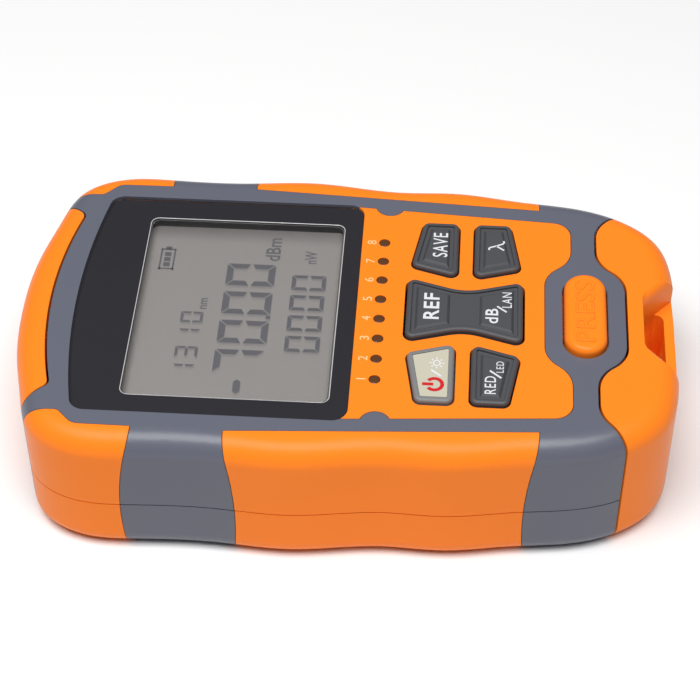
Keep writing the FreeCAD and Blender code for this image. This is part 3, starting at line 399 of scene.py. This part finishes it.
def printWord(name, legend, material, body):
    # the word is fitted to the length and height that it has on the part
    mesh = wordMesh(legend)
    across = [vertex.co.x for vertex in mesh.vertices]
    upward = [vertex.co.y for vertex in mesh.vertices]
    lengthScale = legend["length"] / (max(across) - min(across))
    heightScale = legend["height"] / (max(upward) - min(upward))
    middleX = (max(across) + min(across)) / 2
    middleY = (max(upward) + min(upward)) / 2
    for vertex in mesh.vertices:
        reading = ((vertex.co.x - middleX) * lengthScale, (vertex.co.y - middleY) * heightScale)
        vertex.co = readToPart(reading, legend["centre"], legend["level"] + vertex.co.z)
    mesh.name = name
    return addPiece(name, mesh, material, body)


# key legends
keyPrintLevel = 28.925
platePrintLevel = 28.725
saveLegend = {"words": "SAVE", "length": 6.5, "height": 2.75, "centre": (16.2, 16.6),
              "level": keyPrintLevel, "bold": 0.008, "spacing": 1.12}
refLegend = {"words": "REF", "length": 6.6, "height": 2.8, "centre": (15.1, 0.4),
             "level": keyPrintLevel, "bold": 0.018, "spacing": 1.1}
ratioLegend = {"words": "dB", "length": 3.7, "height": 2.3, "centre": (26.0, -1.5),
               "level": keyPrintLevel, "bold": 0.014, "spacing": 1.1}
cableLegend = {"words": "LAN", "length": 3.9, "height": 1.75, "centre": (28.7, 2.7),
               "level": keyPrintLevel, "bold": 0.004, "spacing": 1.12}
redLightLegend = {"words": "RED", "length": 4.2, "height": 1.95, "centre": (26.0, -18.5),
                  "level": keyPrintLevel, "bold": 0.006, "spacing": 1.14}
torchLegend = {"words": "LED", "length": 2.7, "height": 1.3, "centre": (27.65, -14.1),
               "level": keyPrintLevel, "bold": 0.002, "spacing": 1.14}
printWord("saveLegend", saveLegend, whiteInk, "store_key")
printWord("refLegend", refLegend, whiteInk, "rocker_key")
printWord("ratioLegend", ratioLegend, whiteInk, "rocker_key")
printWord("cableLegend", cableLegend, whiteInk, "rocker_key")
printWord("redLightLegend", redLightLegend, whiteInk, "light_key")
printWord("torchLegend", torchLegend, whiteInk, "light_key")

slashMarks = {"rockerSlash": ((27.8, 0.3), 2.3, 0.34, keyPrintLevel, "rocker_key"),
              "lightSlash": ((26.9, -15.9), 2.7, 0.36, keyPrintLevel, "light_key"),
              "powerSlash": ((16.5, -16.0), 2.4, 0.36, platePrintLevel, "power_key")}
slashLean = (0.62, 0.75)
for slashName, (slashCentre, slashLength, slashWide, slashLevel, slashBody) in slashMarks.items():
    slashReach = slashLength / 2
    slashEnd = (slashReach * slashLean[0], slashReach * slashLean[1])
    slashLine = [(-slashEnd[0], -slashEnd[1]), slashEnd]
    flatPiece(slashName, ribbon(slashLine, slashWide, False), slashCentre, slashLevel, whiteInk, slashBody)

wavelengthMark = {"centre": (26.6, 17.0), "wide": 0.34, "short": [(-0.1, 0.05), (-1.2, -1.4)],
                  "long": [(-1.25, 1.3), (-0.85, 1.4), (-0.55, 1.15), (-0.2, 0.25), (0.5, -1.15),
                           (0.85, -1.42), (1.3, -1.3)]}
wavelengthBars = ribbon(wavelengthMark["long"], wavelengthMark["wide"], False)
wavelengthBars += ribbon(wavelengthMark["short"], wavelengthMark["wide"], False)
flatPiece("wavelengthMark", wavelengthBars, wavelengthMark["centre"], keyPrintLevel, whiteInk,
          "wavelength_key")

powerMark = {"centre": (16.3, -18.7), "radius": 1.36, "wide": 0.68, "turns": (128.0, 412.0), "points": 28,
             "stem": (0.2, 2.15)}
powerRing = arcPoints(powerMark["radius"], *powerMark["turns"], powerMark["points"])
powerBars = ribbon(powerRing, powerMark["wide"], False)
powerBars += ribbon([(0, powerMark["stem"][0]), (0, powerMark["stem"][1])], powerMark["wide"], False)
flatPiece("powerMark", powerBars, powerMark["centre"], platePrintLevel, redInk, "power_key")

sunMark = {"centre": (16.55, -13.6), "disc": 0.60, "turns": (0, 345), "points": 24, "wide": 0.24,
           "ray": (0.88, 1.32), "rays": 8}
sunBars = ribbon(arcPoints(sunMark["disc"], *sunMark["turns"], sunMark["points"]), sunMark["wide"], True)
for rayIndex in range(sunMark["rays"]):
    rayTurn = 2 * math.pi * rayIndex / sunMark["rays"]
    rayEnds = [(reach * math.cos(rayTurn), reach * math.sin(rayTurn)) for reach in sunMark["ray"]]
    sunBars += ribbon(rayEnds, sunMark["wide"], False)
flatPiece("sunMark", sunBars, sunMark["centre"], platePrintLevel, whiteInk, "power_key")

# numbers beside the lamps and the raised word on the release button
lampRow = {"first": -17.5, "pitch": 5.0, "count": 8}
lampNumbers = {"x": 3.43, "height": 1.65, "wide": 1.05, "wideOfOne": 0.27, "level": 28.015}
for lampIndex in range(lampRow["count"]):
    numberWide = lampNumbers["wide"] if lampIndex else lampNumbers["wideOfOne"]
    numberCentre = (lampNumbers["x"], lampRow["first"] + lampIndex * lampRow["pitch"])
    numberLegend = {"words": str(lampIndex + 1), "length": numberWide, "height": lampNumbers["height"],
                    "level": lampNumbers["level"], "centre": numberCentre}
    printWord("lampNumber" + str(lampIndex + 1), numberLegend, paleInk, "housing")
pressLegend = {"words": "PRESS", "length": 15.4, "height": 3.4, "centre": (42.7, 0.0), "level": 29.8,
               "raised": 0.1}
# a flat darker copy just under the raised letters: painted shade in the creases round the letters
pressCreaseShade = dict(pressLegend, length=15.6, height=3.6, level=29.81, raised=0.0, bold=0.018)
printWord("pressLegend", pressLegend, skins["orangeShell"], "release_button")
printWord("pressCreaseShade", pressCreaseShade, creaseShadeOrange, "release_button")
print("legends printed")


# display reading

displayLift = 0.02
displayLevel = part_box("lcd_panel")[1].z / mm + displayLift
litBars = {"0": "abcdef", "1": "bc", "3": "abcdg", "7": "abc"}
barGap = 0.16


def digitBars(digit, left, bottom, wide, tall, bar):
    cut = bar * barGap
    half = tall / 2
    shapes = {
        "a": [(cut, tall), (bar + cut, tall - bar), (wide - bar - cut, tall - bar), (wide - cut, tall)],
        "d": [(cut, 0), (wide - cut, 0), (wide - bar - cut, bar), (bar + cut, bar)],
        "f": [(0, tall - cut), (0, half + cut), (bar, half + bar / 2 + cut), (bar, tall - bar - cut)],
        "e": [(0, half - cut), (0, cut), (bar, bar + cut), (bar, half - bar / 2 - cut)],
        "g": [(bar / 2 + cut, half), (bar + cut, half - bar / 2), (wide - bar - cut, half - bar / 2),
              (wide - bar / 2 - cut, half), (wide - bar - cut, half + bar / 2),
              (bar + cut, half + bar / 2)],
    }
    shapes["b"] = [(wide - x, y) for x, y in reversed(shapes["f"])]
    shapes["c"] = [(wide - x, y) for x, y in reversed(shapes["e"])]
    return [[(left + x, bottom + y) for x, y in shapes[key]] for key in litBars[digit]]


wavelengthReading = {"digits": "1310", "bottom": 26.4, "first": -15.75, "pitch": 4.42,
                     "wide": 2.75, "tall": 4.1, "bar": 0.52}
levelReading = {"digits": "7000", "bottom": 14.25, "first": -14.65, "pitch": 7.42,
                "wide": 5.75, "tall": 9.05, "bar": 1.25}
powerReading = {"digits": "0000", "bottom": 4.65, "first": -8.8, "pitch": 5.26,
                "wide": 3.95, "tall": 6.35, "bar": 0.78}
minusSign = {"left": -19.6, "bottom": 17.95, "long": 3.4, "tall": 1.3, "nose": 0.55}
pointSign = (-0.85, 14.15, 0.85, 0.85)
batteryMark = {"left": 11.3, "bottom": 33.55, "long": 5.2, "tall": 2.5, "line": 0.3, "nub": 0.75,
               "nubShare": 0.45, "nubLift": 0.6, "cells": 3, "cellSlack": 0.8, "cellShare": 0.78,
               "cellInset": (0.6, 0.65)}


def box2d(left, bottom, wide, tall):
    return [(left, bottom), (left + wide, bottom), (left + wide, bottom + tall), (left, bottom + tall)]


displayBars = []
for reading in (wavelengthReading, levelReading, powerReading):
    for digitIndex, digit in enumerate(reading["digits"]):
        digitLeft = reading["first"] + digitIndex * reading["pitch"]
        displayBars += digitBars(digit, digitLeft, reading["bottom"], reading["wide"], reading["tall"],
                                 reading["bar"])
displayBars.append(box2d(*pointSign))
minusLow = minusSign["bottom"]
minusHigh = minusLow + minusSign["tall"]
minusStart = minusSign["left"]
minusStop = minusStart + minusSign["long"]
minusBend = minusSign["nose"]
displayBars.append([(minusStart, (minusLow + minusHigh) / 2), (minusStart + minusBend, minusLow),
                    (minusStop - minusBend, minusLow), (minusStop, (minusLow + minusHigh) / 2),
                    (minusStop - minusBend, minusHigh), (minusStart + minusBend, minusHigh)])
batteryFrame = box2d(batteryMark["left"], batteryMark["bottom"], batteryMark["long"], batteryMark["tall"])
batteryLine = batteryMark["line"]
batteryBars = []
for cornerIndex, frameCorner in enumerate(batteryFrame):
    startCorner = Vector(frameCorner)
    stopCorner = Vector(batteryFrame[(cornerIndex + 1) % len(batteryFrame)])
    stretch = (stopCorner - startCorner).normalized() * batteryLine / 2
    batteryBars += ribbon([tuple(startCorner - stretch), tuple(stopCorner + stretch)], batteryLine, False)
nubTall = batteryMark["tall"] * batteryMark["nubShare"]
nubBottom = batteryMark["bottom"] + nubTall * batteryMark["nubLift"]
batteryBars.append(box2d(batteryMark["left"] + batteryMark["long"], nubBottom, batteryMark["nub"], nubTall))
cellLong = batteryMark["long"] / (batteryMark["cells"] + batteryMark["cellSlack"])
cellLeft = batteryMark["left"] + batteryMark["cellInset"][0]
cellBottom = batteryMark["bottom"] + batteryMark["cellInset"][1]
cellTall = batteryMark["tall"] - 2 * batteryMark["cellInset"][1]
for cellIndex in range(batteryMark["cells"]):
    batteryBars.append(box2d(cellLeft + cellIndex * cellLong, cellBottom,
                             cellLong * batteryMark["cellShare"], cellTall))

# each shadow: where it falls from the bars, and how far below them
batteryCast = {"shift": (0.05, -0.2), "drop": 0.006}
nearCast = {"shift": (0.08, -0.34), "drop": 0.006}
farCast = {"shift": (0.14, -0.72), "drop": 0.012}
flatPiece("batteryMark", batteryBars, (0, 0), displayLevel, displayInk, "housing")
flatPiece("batteryShadow", batteryBars, batteryCast["shift"], displayLevel - batteryCast["drop"],
          farShadow, "housing")
flatPiece("displayBars", displayBars, (0, 0), displayLevel, displayInk, "housing")
flatPiece("nearBarShadow", displayBars, nearCast["shift"], displayLevel - nearCast["drop"],
          nearShadow, "housing")
flatPiece("farBarShadow", displayBars, farCast["shift"], displayLevel - farCast["drop"],
          farShadow, "housing")

displayWords = {
    "levelUnit": {"words": "dBm", "length": 6.3, "height": 2.75, "centre": (-15.1, 17.6),
                  "level": displayLevel, "bold": 0.016},
    "powerUnit": {"words": "nW", "length": 3.4, "height": 2.3, "centre": (-7.9, 15.8),
                  "level": displayLevel, "bold": 0.018},
    "wavelengthUnit": {"words": "nm", "length": 2.9, "height": 1.2, "centre": (-26.6, 2.45),
                       "level": displayLevel, "bold": 0.014},
}
for unitName, unitLegend in displayWords.items():
    printWord(unitName, unitLegend, displayInk, "housing")
print("display reading drawn")


# pieces made by Geometry Nodes

def treeFor(name, inputs):
    tree, start, end = newGroup(name, "GeometryNodeTree",
                                [("Geometry", "NodeSocketGeometry", None), *inputs,
                                 ("Material", "NodeSocketMaterial", None)],
                                [("Geometry", "NodeSocketGeometry")])
    realize = tree.nodes.new("GeometryNodeRealizeInstances")
    coat = tree.nodes.new("GeometryNodeSetMaterial")
    tree.links.new(realize.outputs["Geometry"], coat.inputs["Geometry"])
    tree.links.new(start.outputs["Material"], coat.inputs["Material"])
    tree.links.new(coat.outputs["Geometry"], end.inputs["Geometry"])
    return tree, start, realize


def growPiece(name, tree, values, points, material, body):
    # a point cloud of vertices goes in, a plain mesh comes out
    seed = bpy.data.meshes.new(name + "Seed")
    seed.from_pydata([Vector(point) * mm for point in points], [], [])
    holder = bpy.data.objects.new(name + "Seed", seed)
    bpy.context.scene.collection.objects.link(holder)
    modifier = holder.modifiers.new("grow", "NODES")
    modifier.node_group = tree
    sockets = {item.name: item.identifier for item in tree.interface.items_tree if item.in_out == "INPUT"}
    for label, value in values.items():
        modifier[sockets[label]] = value
    modifier[sockets["Material"]] = material
    evaluated = holder.evaluated_get(bpy.context.evaluated_depsgraph_get())
    mesh = bpy.data.meshes.new_from_object(evaluated)
    holder.modifiers.remove(modifier)
    bpy.data.objects.remove(holder)
    mesh.name = name
    for polygon in mesh.polygons:
        polygon.use_smooth = True
    return addPiece(name, mesh, material, body)


threadSteps = {"ring": 64, "ridge": 8}


def threadTree():
    # rings round X at an even pitch, starting at each seed point
    tree, start, realize = treeFor("threadRidges", [("Ring Radius", "NodeSocketFloat", 4 * mm),
                                                    ("Ridge Radius", "NodeSocketFloat", 0.2 * mm),
                                                    ("Pitch", "NodeSocketFloat", 0.5 * mm),
                                                    ("Count", "NodeSocketInt", 5)])
    ring = tree.nodes.new("GeometryNodeCurvePrimitiveCircle")
    ring.inputs["Resolution"].default_value = threadSteps["ring"]
    ridge = tree.nodes.new("GeometryNodeCurvePrimitiveCircle")
    ridge.inputs["Resolution"].default_value = threadSteps["ridge"]
    sweep = tree.nodes.new("GeometryNodeCurveToMesh")
    turn = tree.nodes.new("GeometryNodeTransform")
    turn.inputs["Rotation"].default_value = (0, math.pi / 2, 0)
    step = tree.nodes.new("ShaderNodeCombineXYZ")
    line = tree.nodes.new("GeometryNodeMeshLine")
    row = tree.nodes.new("GeometryNodeInstanceOnPoints")
    spread = tree.nodes.new("GeometryNodeInstanceOnPoints")
    tree.links.new(start.outputs["Ring Radius"], ring.inputs["Radius"])
    tree.links.new(start.outputs["Ridge Radius"], ridge.inputs["Radius"])
    tree.links.new(ring.outputs["Curve"], sweep.inputs["Curve"])
    tree.links.new(ridge.outputs["Curve"], sweep.inputs["Profile Curve"])
    tree.links.new(sweep.outputs["Mesh"], turn.inputs["Geometry"])
    tree.links.new(start.outputs["Pitch"], step.inputs["X"])
    tree.links.new(start.outputs["Count"], line.inputs["Count"])
    tree.links.new(step.outputs["Vector"], line.inputs["Offset"])
    tree.links.new(line.outputs["Mesh"], row.inputs["Points"])
    tree.links.new(turn.outputs["Geometry"], row.inputs["Instance"])
    tree.links.new(start.outputs["Geometry"], spread.inputs["Points"])
    tree.links.new(row.outputs["Instances"], spread.inputs["Instance"])
    tree.links.new(spread.outputs["Instances"], realize.inputs["Geometry"])
    return tree


adapterThread = {"mouth": -55.1, "height": 13.0, "ports": (3.3, 14.2), "ringRadius": 3.97,
                 "ridgeRadius": 0.17, "pitch": 0.5, "count": 5, "runIn": 0.6}
threadSeeds = [(adapterThread["mouth"] + adapterThread["runIn"], portY, adapterThread["height"])
               for portY in adapterThread["ports"]]
threadSizes = {"Ring Radius": adapterThread["ringRadius"] * mm,
               "Ridge Radius": adapterThread["ridgeRadius"] * mm,
               "Pitch": adapterThread["pitch"] * mm, "Count": adapterThread["count"]}
threads = growPiece("adapterThreads", threadTree(), threadSizes, threadSeeds, skins["nickelPlate"],
                    "housing")


crossThickness = 0.04


def crossTree():
    # the driver cross in each screw head, seen from below, as thin dark plates: painted shade of the recess
    tree, start, realize = treeFor("driverCross", [("Reach", "NodeSocketFloat", 2 * mm),
                                                   ("Blade", "NodeSocketFloat", 0.5 * mm)])
    join = tree.nodes.new("GeometryNodeJoinGeometry")
    spread = tree.nodes.new("GeometryNodeInstanceOnPoints")
    for longAxis, shortAxis in (("X", "Y"), ("Y", "X")):
        size = tree.nodes.new("ShaderNodeCombineXYZ")
        size.inputs["Z"].default_value = crossThickness * mm
        blade = tree.nodes.new("GeometryNodeMeshCube")
        tree.links.new(start.outputs["Reach"], size.inputs[longAxis])
        tree.links.new(start.outputs["Blade"], size.inputs[shortAxis])
        tree.links.new(size.outputs["Vector"], blade.inputs["Size"])
        tree.links.new(blade.outputs["Mesh"], join.inputs["Geometry"])
    tree.links.new(start.outputs["Geometry"], spread.inputs["Points"])
    tree.links.new(join.outputs["Geometry"], spread.inputs["Instance"])
    tree.links.new(spread.outputs["Instances"], realize.inputs["Geometry"])
    return tree


screwCross = {"x": (-45.0, 29.5), "y": 26.3, "face": 0.69, "reach": 2.4, "blade": 0.55}
crossSeeds = [(screwX, screwY, screwCross["face"]) for screwX in screwCross["x"]
              for screwY in (-screwCross["y"], screwCross["y"])]
crossSizes = {"Reach": screwCross["reach"] * mm, "Blade": screwCross["blade"] * mm}
growPiece("screwCrosses", crossTree(), crossSizes, crossSeeds, recessShadeDark, "housing")


domeSteps = {"round": 28, "upward": 12}


def domeTree():
    # a low lens on each lamp
    tree, start, realize = treeFor("lampDomes", [("Radius", "NodeSocketFloat", 1 * mm),
                                                 ("Flatness", "NodeSocketFloat", 0.2)])
    ball = tree.nodes.new("GeometryNodeMeshUVSphere")
    ball.inputs["Segments"].default_value = domeSteps["round"]
    ball.inputs["Rings"].default_value = domeSteps["upward"]
    squash = tree.nodes.new("ShaderNodeCombineXYZ")
    squash.inputs["X"].default_value = 1.0
    squash.inputs["Y"].default_value = 1.0
    shape = tree.nodes.new("GeometryNodeTransform")
    spread = tree.nodes.new("GeometryNodeInstanceOnPoints")
    tree.links.new(start.outputs["Radius"], ball.inputs["Radius"])
    tree.links.new(start.outputs["Flatness"], squash.inputs["Z"])
    tree.links.new(ball.outputs["Mesh"], shape.inputs["Geometry"])
    tree.links.new(squash.outputs["Vector"], shape.inputs["Scale"])
    tree.links.new(start.outputs["Geometry"], spread.inputs["Points"])
    tree.links.new(shape.outputs["Geometry"], spread.inputs["Instance"])
    tree.links.new(spread.outputs["Instances"], realize.inputs["Geometry"])
    return tree


lampDome = {"x": 5.8, "base": 27.84, "radius": 0.97, "flatness": 0.16}
domeSeeds = [(lampDome["x"], lampRow["first"] + index * lampRow["pitch"], lampDome["base"])
             for index in range(lampRow["count"])]
domeSizes = {"Radius": lampDome["radius"] * mm, "Flatness": lampDome["flatness"]}
domes = growPiece("lampDomes", domeTree(), domeSizes, domeSeeds, skins["lampLens"], "housing")


bevelSteps = {"corner": 8, "section": 8}


def bevelTree():
    # a thin strip that follows the edge of the viewing area
    tree, start, realize = treeFor("viewBevel", [("Long", "NodeSocketFloat", 36 * mm),
                                                 ("Wide", "NodeSocketFloat", 44 * mm),
                                                 ("Corner", "NodeSocketFloat", 1 * mm),
                                                 ("Strip", "NodeSocketFloat", 0.2 * mm)])
    path = tree.nodes.new("GeometryNodeCurvePrimitiveQuadrilateral")
    rounding = tree.nodes.new("GeometryNodeFilletCurve")
    rounding.mode = "POLY"
    rounding.inputs["Count"].default_value = bevelSteps["corner"]
    section = tree.nodes.new("GeometryNodeCurvePrimitiveCircle")
    section.inputs["Resolution"].default_value = bevelSteps["section"]
    sweep = tree.nodes.new("GeometryNodeCurveToMesh")
    spread = tree.nodes.new("GeometryNodeInstanceOnPoints")
    tree.links.new(start.outputs["Long"], path.inputs["Width"])
    tree.links.new(start.outputs["Wide"], path.inputs["Height"])
    tree.links.new(path.outputs["Curve"], rounding.inputs["Curve"])
    tree.links.new(start.outputs["Corner"], rounding.inputs["Radius"])
    tree.links.new(start.outputs["Strip"], section.inputs["Radius"])
    tree.links.new(rounding.outputs["Curve"], sweep.inputs["Curve"])
    tree.links.new(section.outputs["Curve"], sweep.inputs["Profile Curve"])
    tree.links.new(start.outputs["Geometry"], spread.inputs["Points"])
    tree.links.new(sweep.outputs["Mesh"], spread.inputs["Instance"])
    tree.links.new(spread.outputs["Instances"], realize.inputs["Geometry"])
    return tree


# a thin glossy strip round the viewing area; its pale colour is a painted highlight on the edge of the
# opening
viewBevel = {"centre": (-20.25, 0.0, 26.9), "long": 36.74, "wide": 45.64, "corner": 1.5, "strip": 0.08}
bevelSizes = {"Long": viewBevel["long"] * mm, "Wide": viewBevel["wide"] * mm,
              "Corner": viewBevel["corner"] * mm, "Strip": viewBevel["strip"] * mm}
growPiece("viewBevel", bevelTree(), bevelSizes, [viewBevel["centre"]], bevelHighlight, "housing")
# a thin dark strip inside the bright one: painted shade of the groove round the viewing area
viewGroove = {"inward": 0.55, "drop": 0.25, "strip": 0.07}
grooveSizes = dict(bevelSizes, Long=(viewBevel["long"] - viewGroove["inward"]) * mm,
                   Wide=(viewBevel["wide"] - viewGroove["inward"]) * mm, Strip=viewGroove["strip"] * mm)
grooveCentre = (*viewBevel["centre"][:2], viewBevel["centre"][2] - viewGroove["drop"])
growPiece("viewGroove", bevelTree(), grooveSizes, [grooveCentre], grooveShadeGrey, "housing")
print("threads, screw crosses, lamp lenses and view edges grown")

# a dark strip and a dark wall round the edge of the window: painted shade in the gap between window and
# frame
# the window's edge points in order round its middle
windowGapShade = {"level": 27.4, "slack": 0.05, "digits": 5, "spread": 1.002, "wide": 0.16, "raised": 0.04}
windowPoints = [vertex.co / mm for vertex in nodes["display_window"].data.vertices]
gapPoints = [point for point in windowPoints if abs(point.z - windowGapShade["level"]) < windowGapShade["slack"]]
gapMiddle = sum(gapPoints, Vector((0, 0, 0))) / len(gapPoints)
gapTurns = [round(math.atan2(point.y - gapMiddle.y, point.x - gapMiddle.x), windowGapShade["digits"])
            for point in gapPoints]
gapReach = dict(zip(gapTurns, gapPoints))
gapLine = [gapMiddle + (gapReach[turn] - gapMiddle) * windowGapShade["spread"] for turn in sorted(gapReach)]
gapStrip = ribbon([(point.y, -point.x) for point in gapLine], windowGapShade["wide"], True)
gapTop = windowGapShade["level"] + windowGapShade["raised"]
flatPiece("windowGapShade", gapStrip, (0, 0), gapTop, recessShadeDark, "housing")
rimLevels = (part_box("window_mask")[0].z / mm, gapTop)
rimPoints = [Vector((point.x, point.y, level)) * mm for level in rimLevels for point in gapLine]
rimCount = len(gapLine)
rimFaces = [(index, (index + 1) % rimCount, rimCount + (index + 1) % rimCount, rimCount + index)
            for index in range(rimCount)]
rimMesh = bpy.data.meshes.new("windowRimShade")
rimMesh.from_pydata(rimPoints, [], rimFaces)
addPiece("windowRimShade", rimMesh, recessShadeDark, "housing")
print("dark gap round the window drawn")


# floor, light and camera

floorLook = {"size": 6.0, "level": -0.05 * mm, "colour": (0.84, 0.84, 0.84), "roughness": 0.7}
floorCorners = box2d(-floorLook["size"] / 2, -floorLook["size"] / 2, floorLook["size"], floorLook["size"])
floorMesh = bpy.data.meshes.new("floor")
floorMesh.from_pydata([(*corner, floorLook["level"]) for corner in floorCorners], [], [(0, 1, 2, 3)])
floorMesh.materials.append(inkMaterial("paleFloor", floorLook["colour"], floorLook["roughness"]))
floor = bpy.data.objects.new("floor", floorMesh)
bpy.context.scene.collection.objects.link(floor)

studioLook = {"colour": (1.0, 1.0, 1.0, 1.0), "strength": 0.08}
world = bpy.data.worlds.new("studio")
world.use_nodes = True
backdrop = world.node_tree.nodes["Background"]
backdrop.inputs["Color"].default_value = studioLook["colour"]
backdrop.inputs["Strength"].default_value = studioLook["strength"]
bpy.context.scene.world = world
bpy.context.scene.view_settings.view_transform = "Standard"


def softBox(name, box):
    light = bpy.data.lights.new(name, "AREA")
    light.shape = "RECTANGLE"
    light.size = box["size"][0]
    light.size_y = box["size"][1]
    light.energy = box["watts"]
    lamp = bpy.data.objects.new(name, light)
    lamp.location = box["place"]
    lamp.rotation_mode = "QUATERNION"
    lamp.rotation_quaternion = (Vector(box["place"]) - Vector(box["aim"])).to_track_quat("Z", "Y")
    bpy.context.scene.collection.objects.link(lamp)


overheadBox = {"place": (-0.05, -0.20, 0.80), "aim": (0.0, 0.0, 0.0), "size": (0.8, 0.45), "watts": 10.2}
softBox("overheadBox", overheadBox)

cameraFit = {"place": (17.784, -262.733, 289.607), "right": (0.997982, 0.063448, -0.002616),
             "up": (-0.043827, 0.718008, 0.694653), "back": (0.045953, -0.693137, 0.719340), "lens": 105.47,
             "sensor": 36.0, "nearest": 0.01}
cameraData = bpy.data.cameras.new("camera")
cameraData.lens = cameraFit["lens"]
cameraData.sensor_width = cameraFit["sensor"]
cameraData.clip_start = cameraFit["nearest"]
camera = bpy.data.objects.new("camera", cameraData)
turned = Matrix([cameraFit["right"], cameraFit["up"], cameraFit["back"]]).transposed().to_4x4()
camera.matrix_world = Matrix.Translation(Vector(cameraFit["place"]) * mm) @ turned
bpy.context.scene.collection.objects.link(camera)
bpy.context.scene.camera = camera
print("stage, light and camera set")
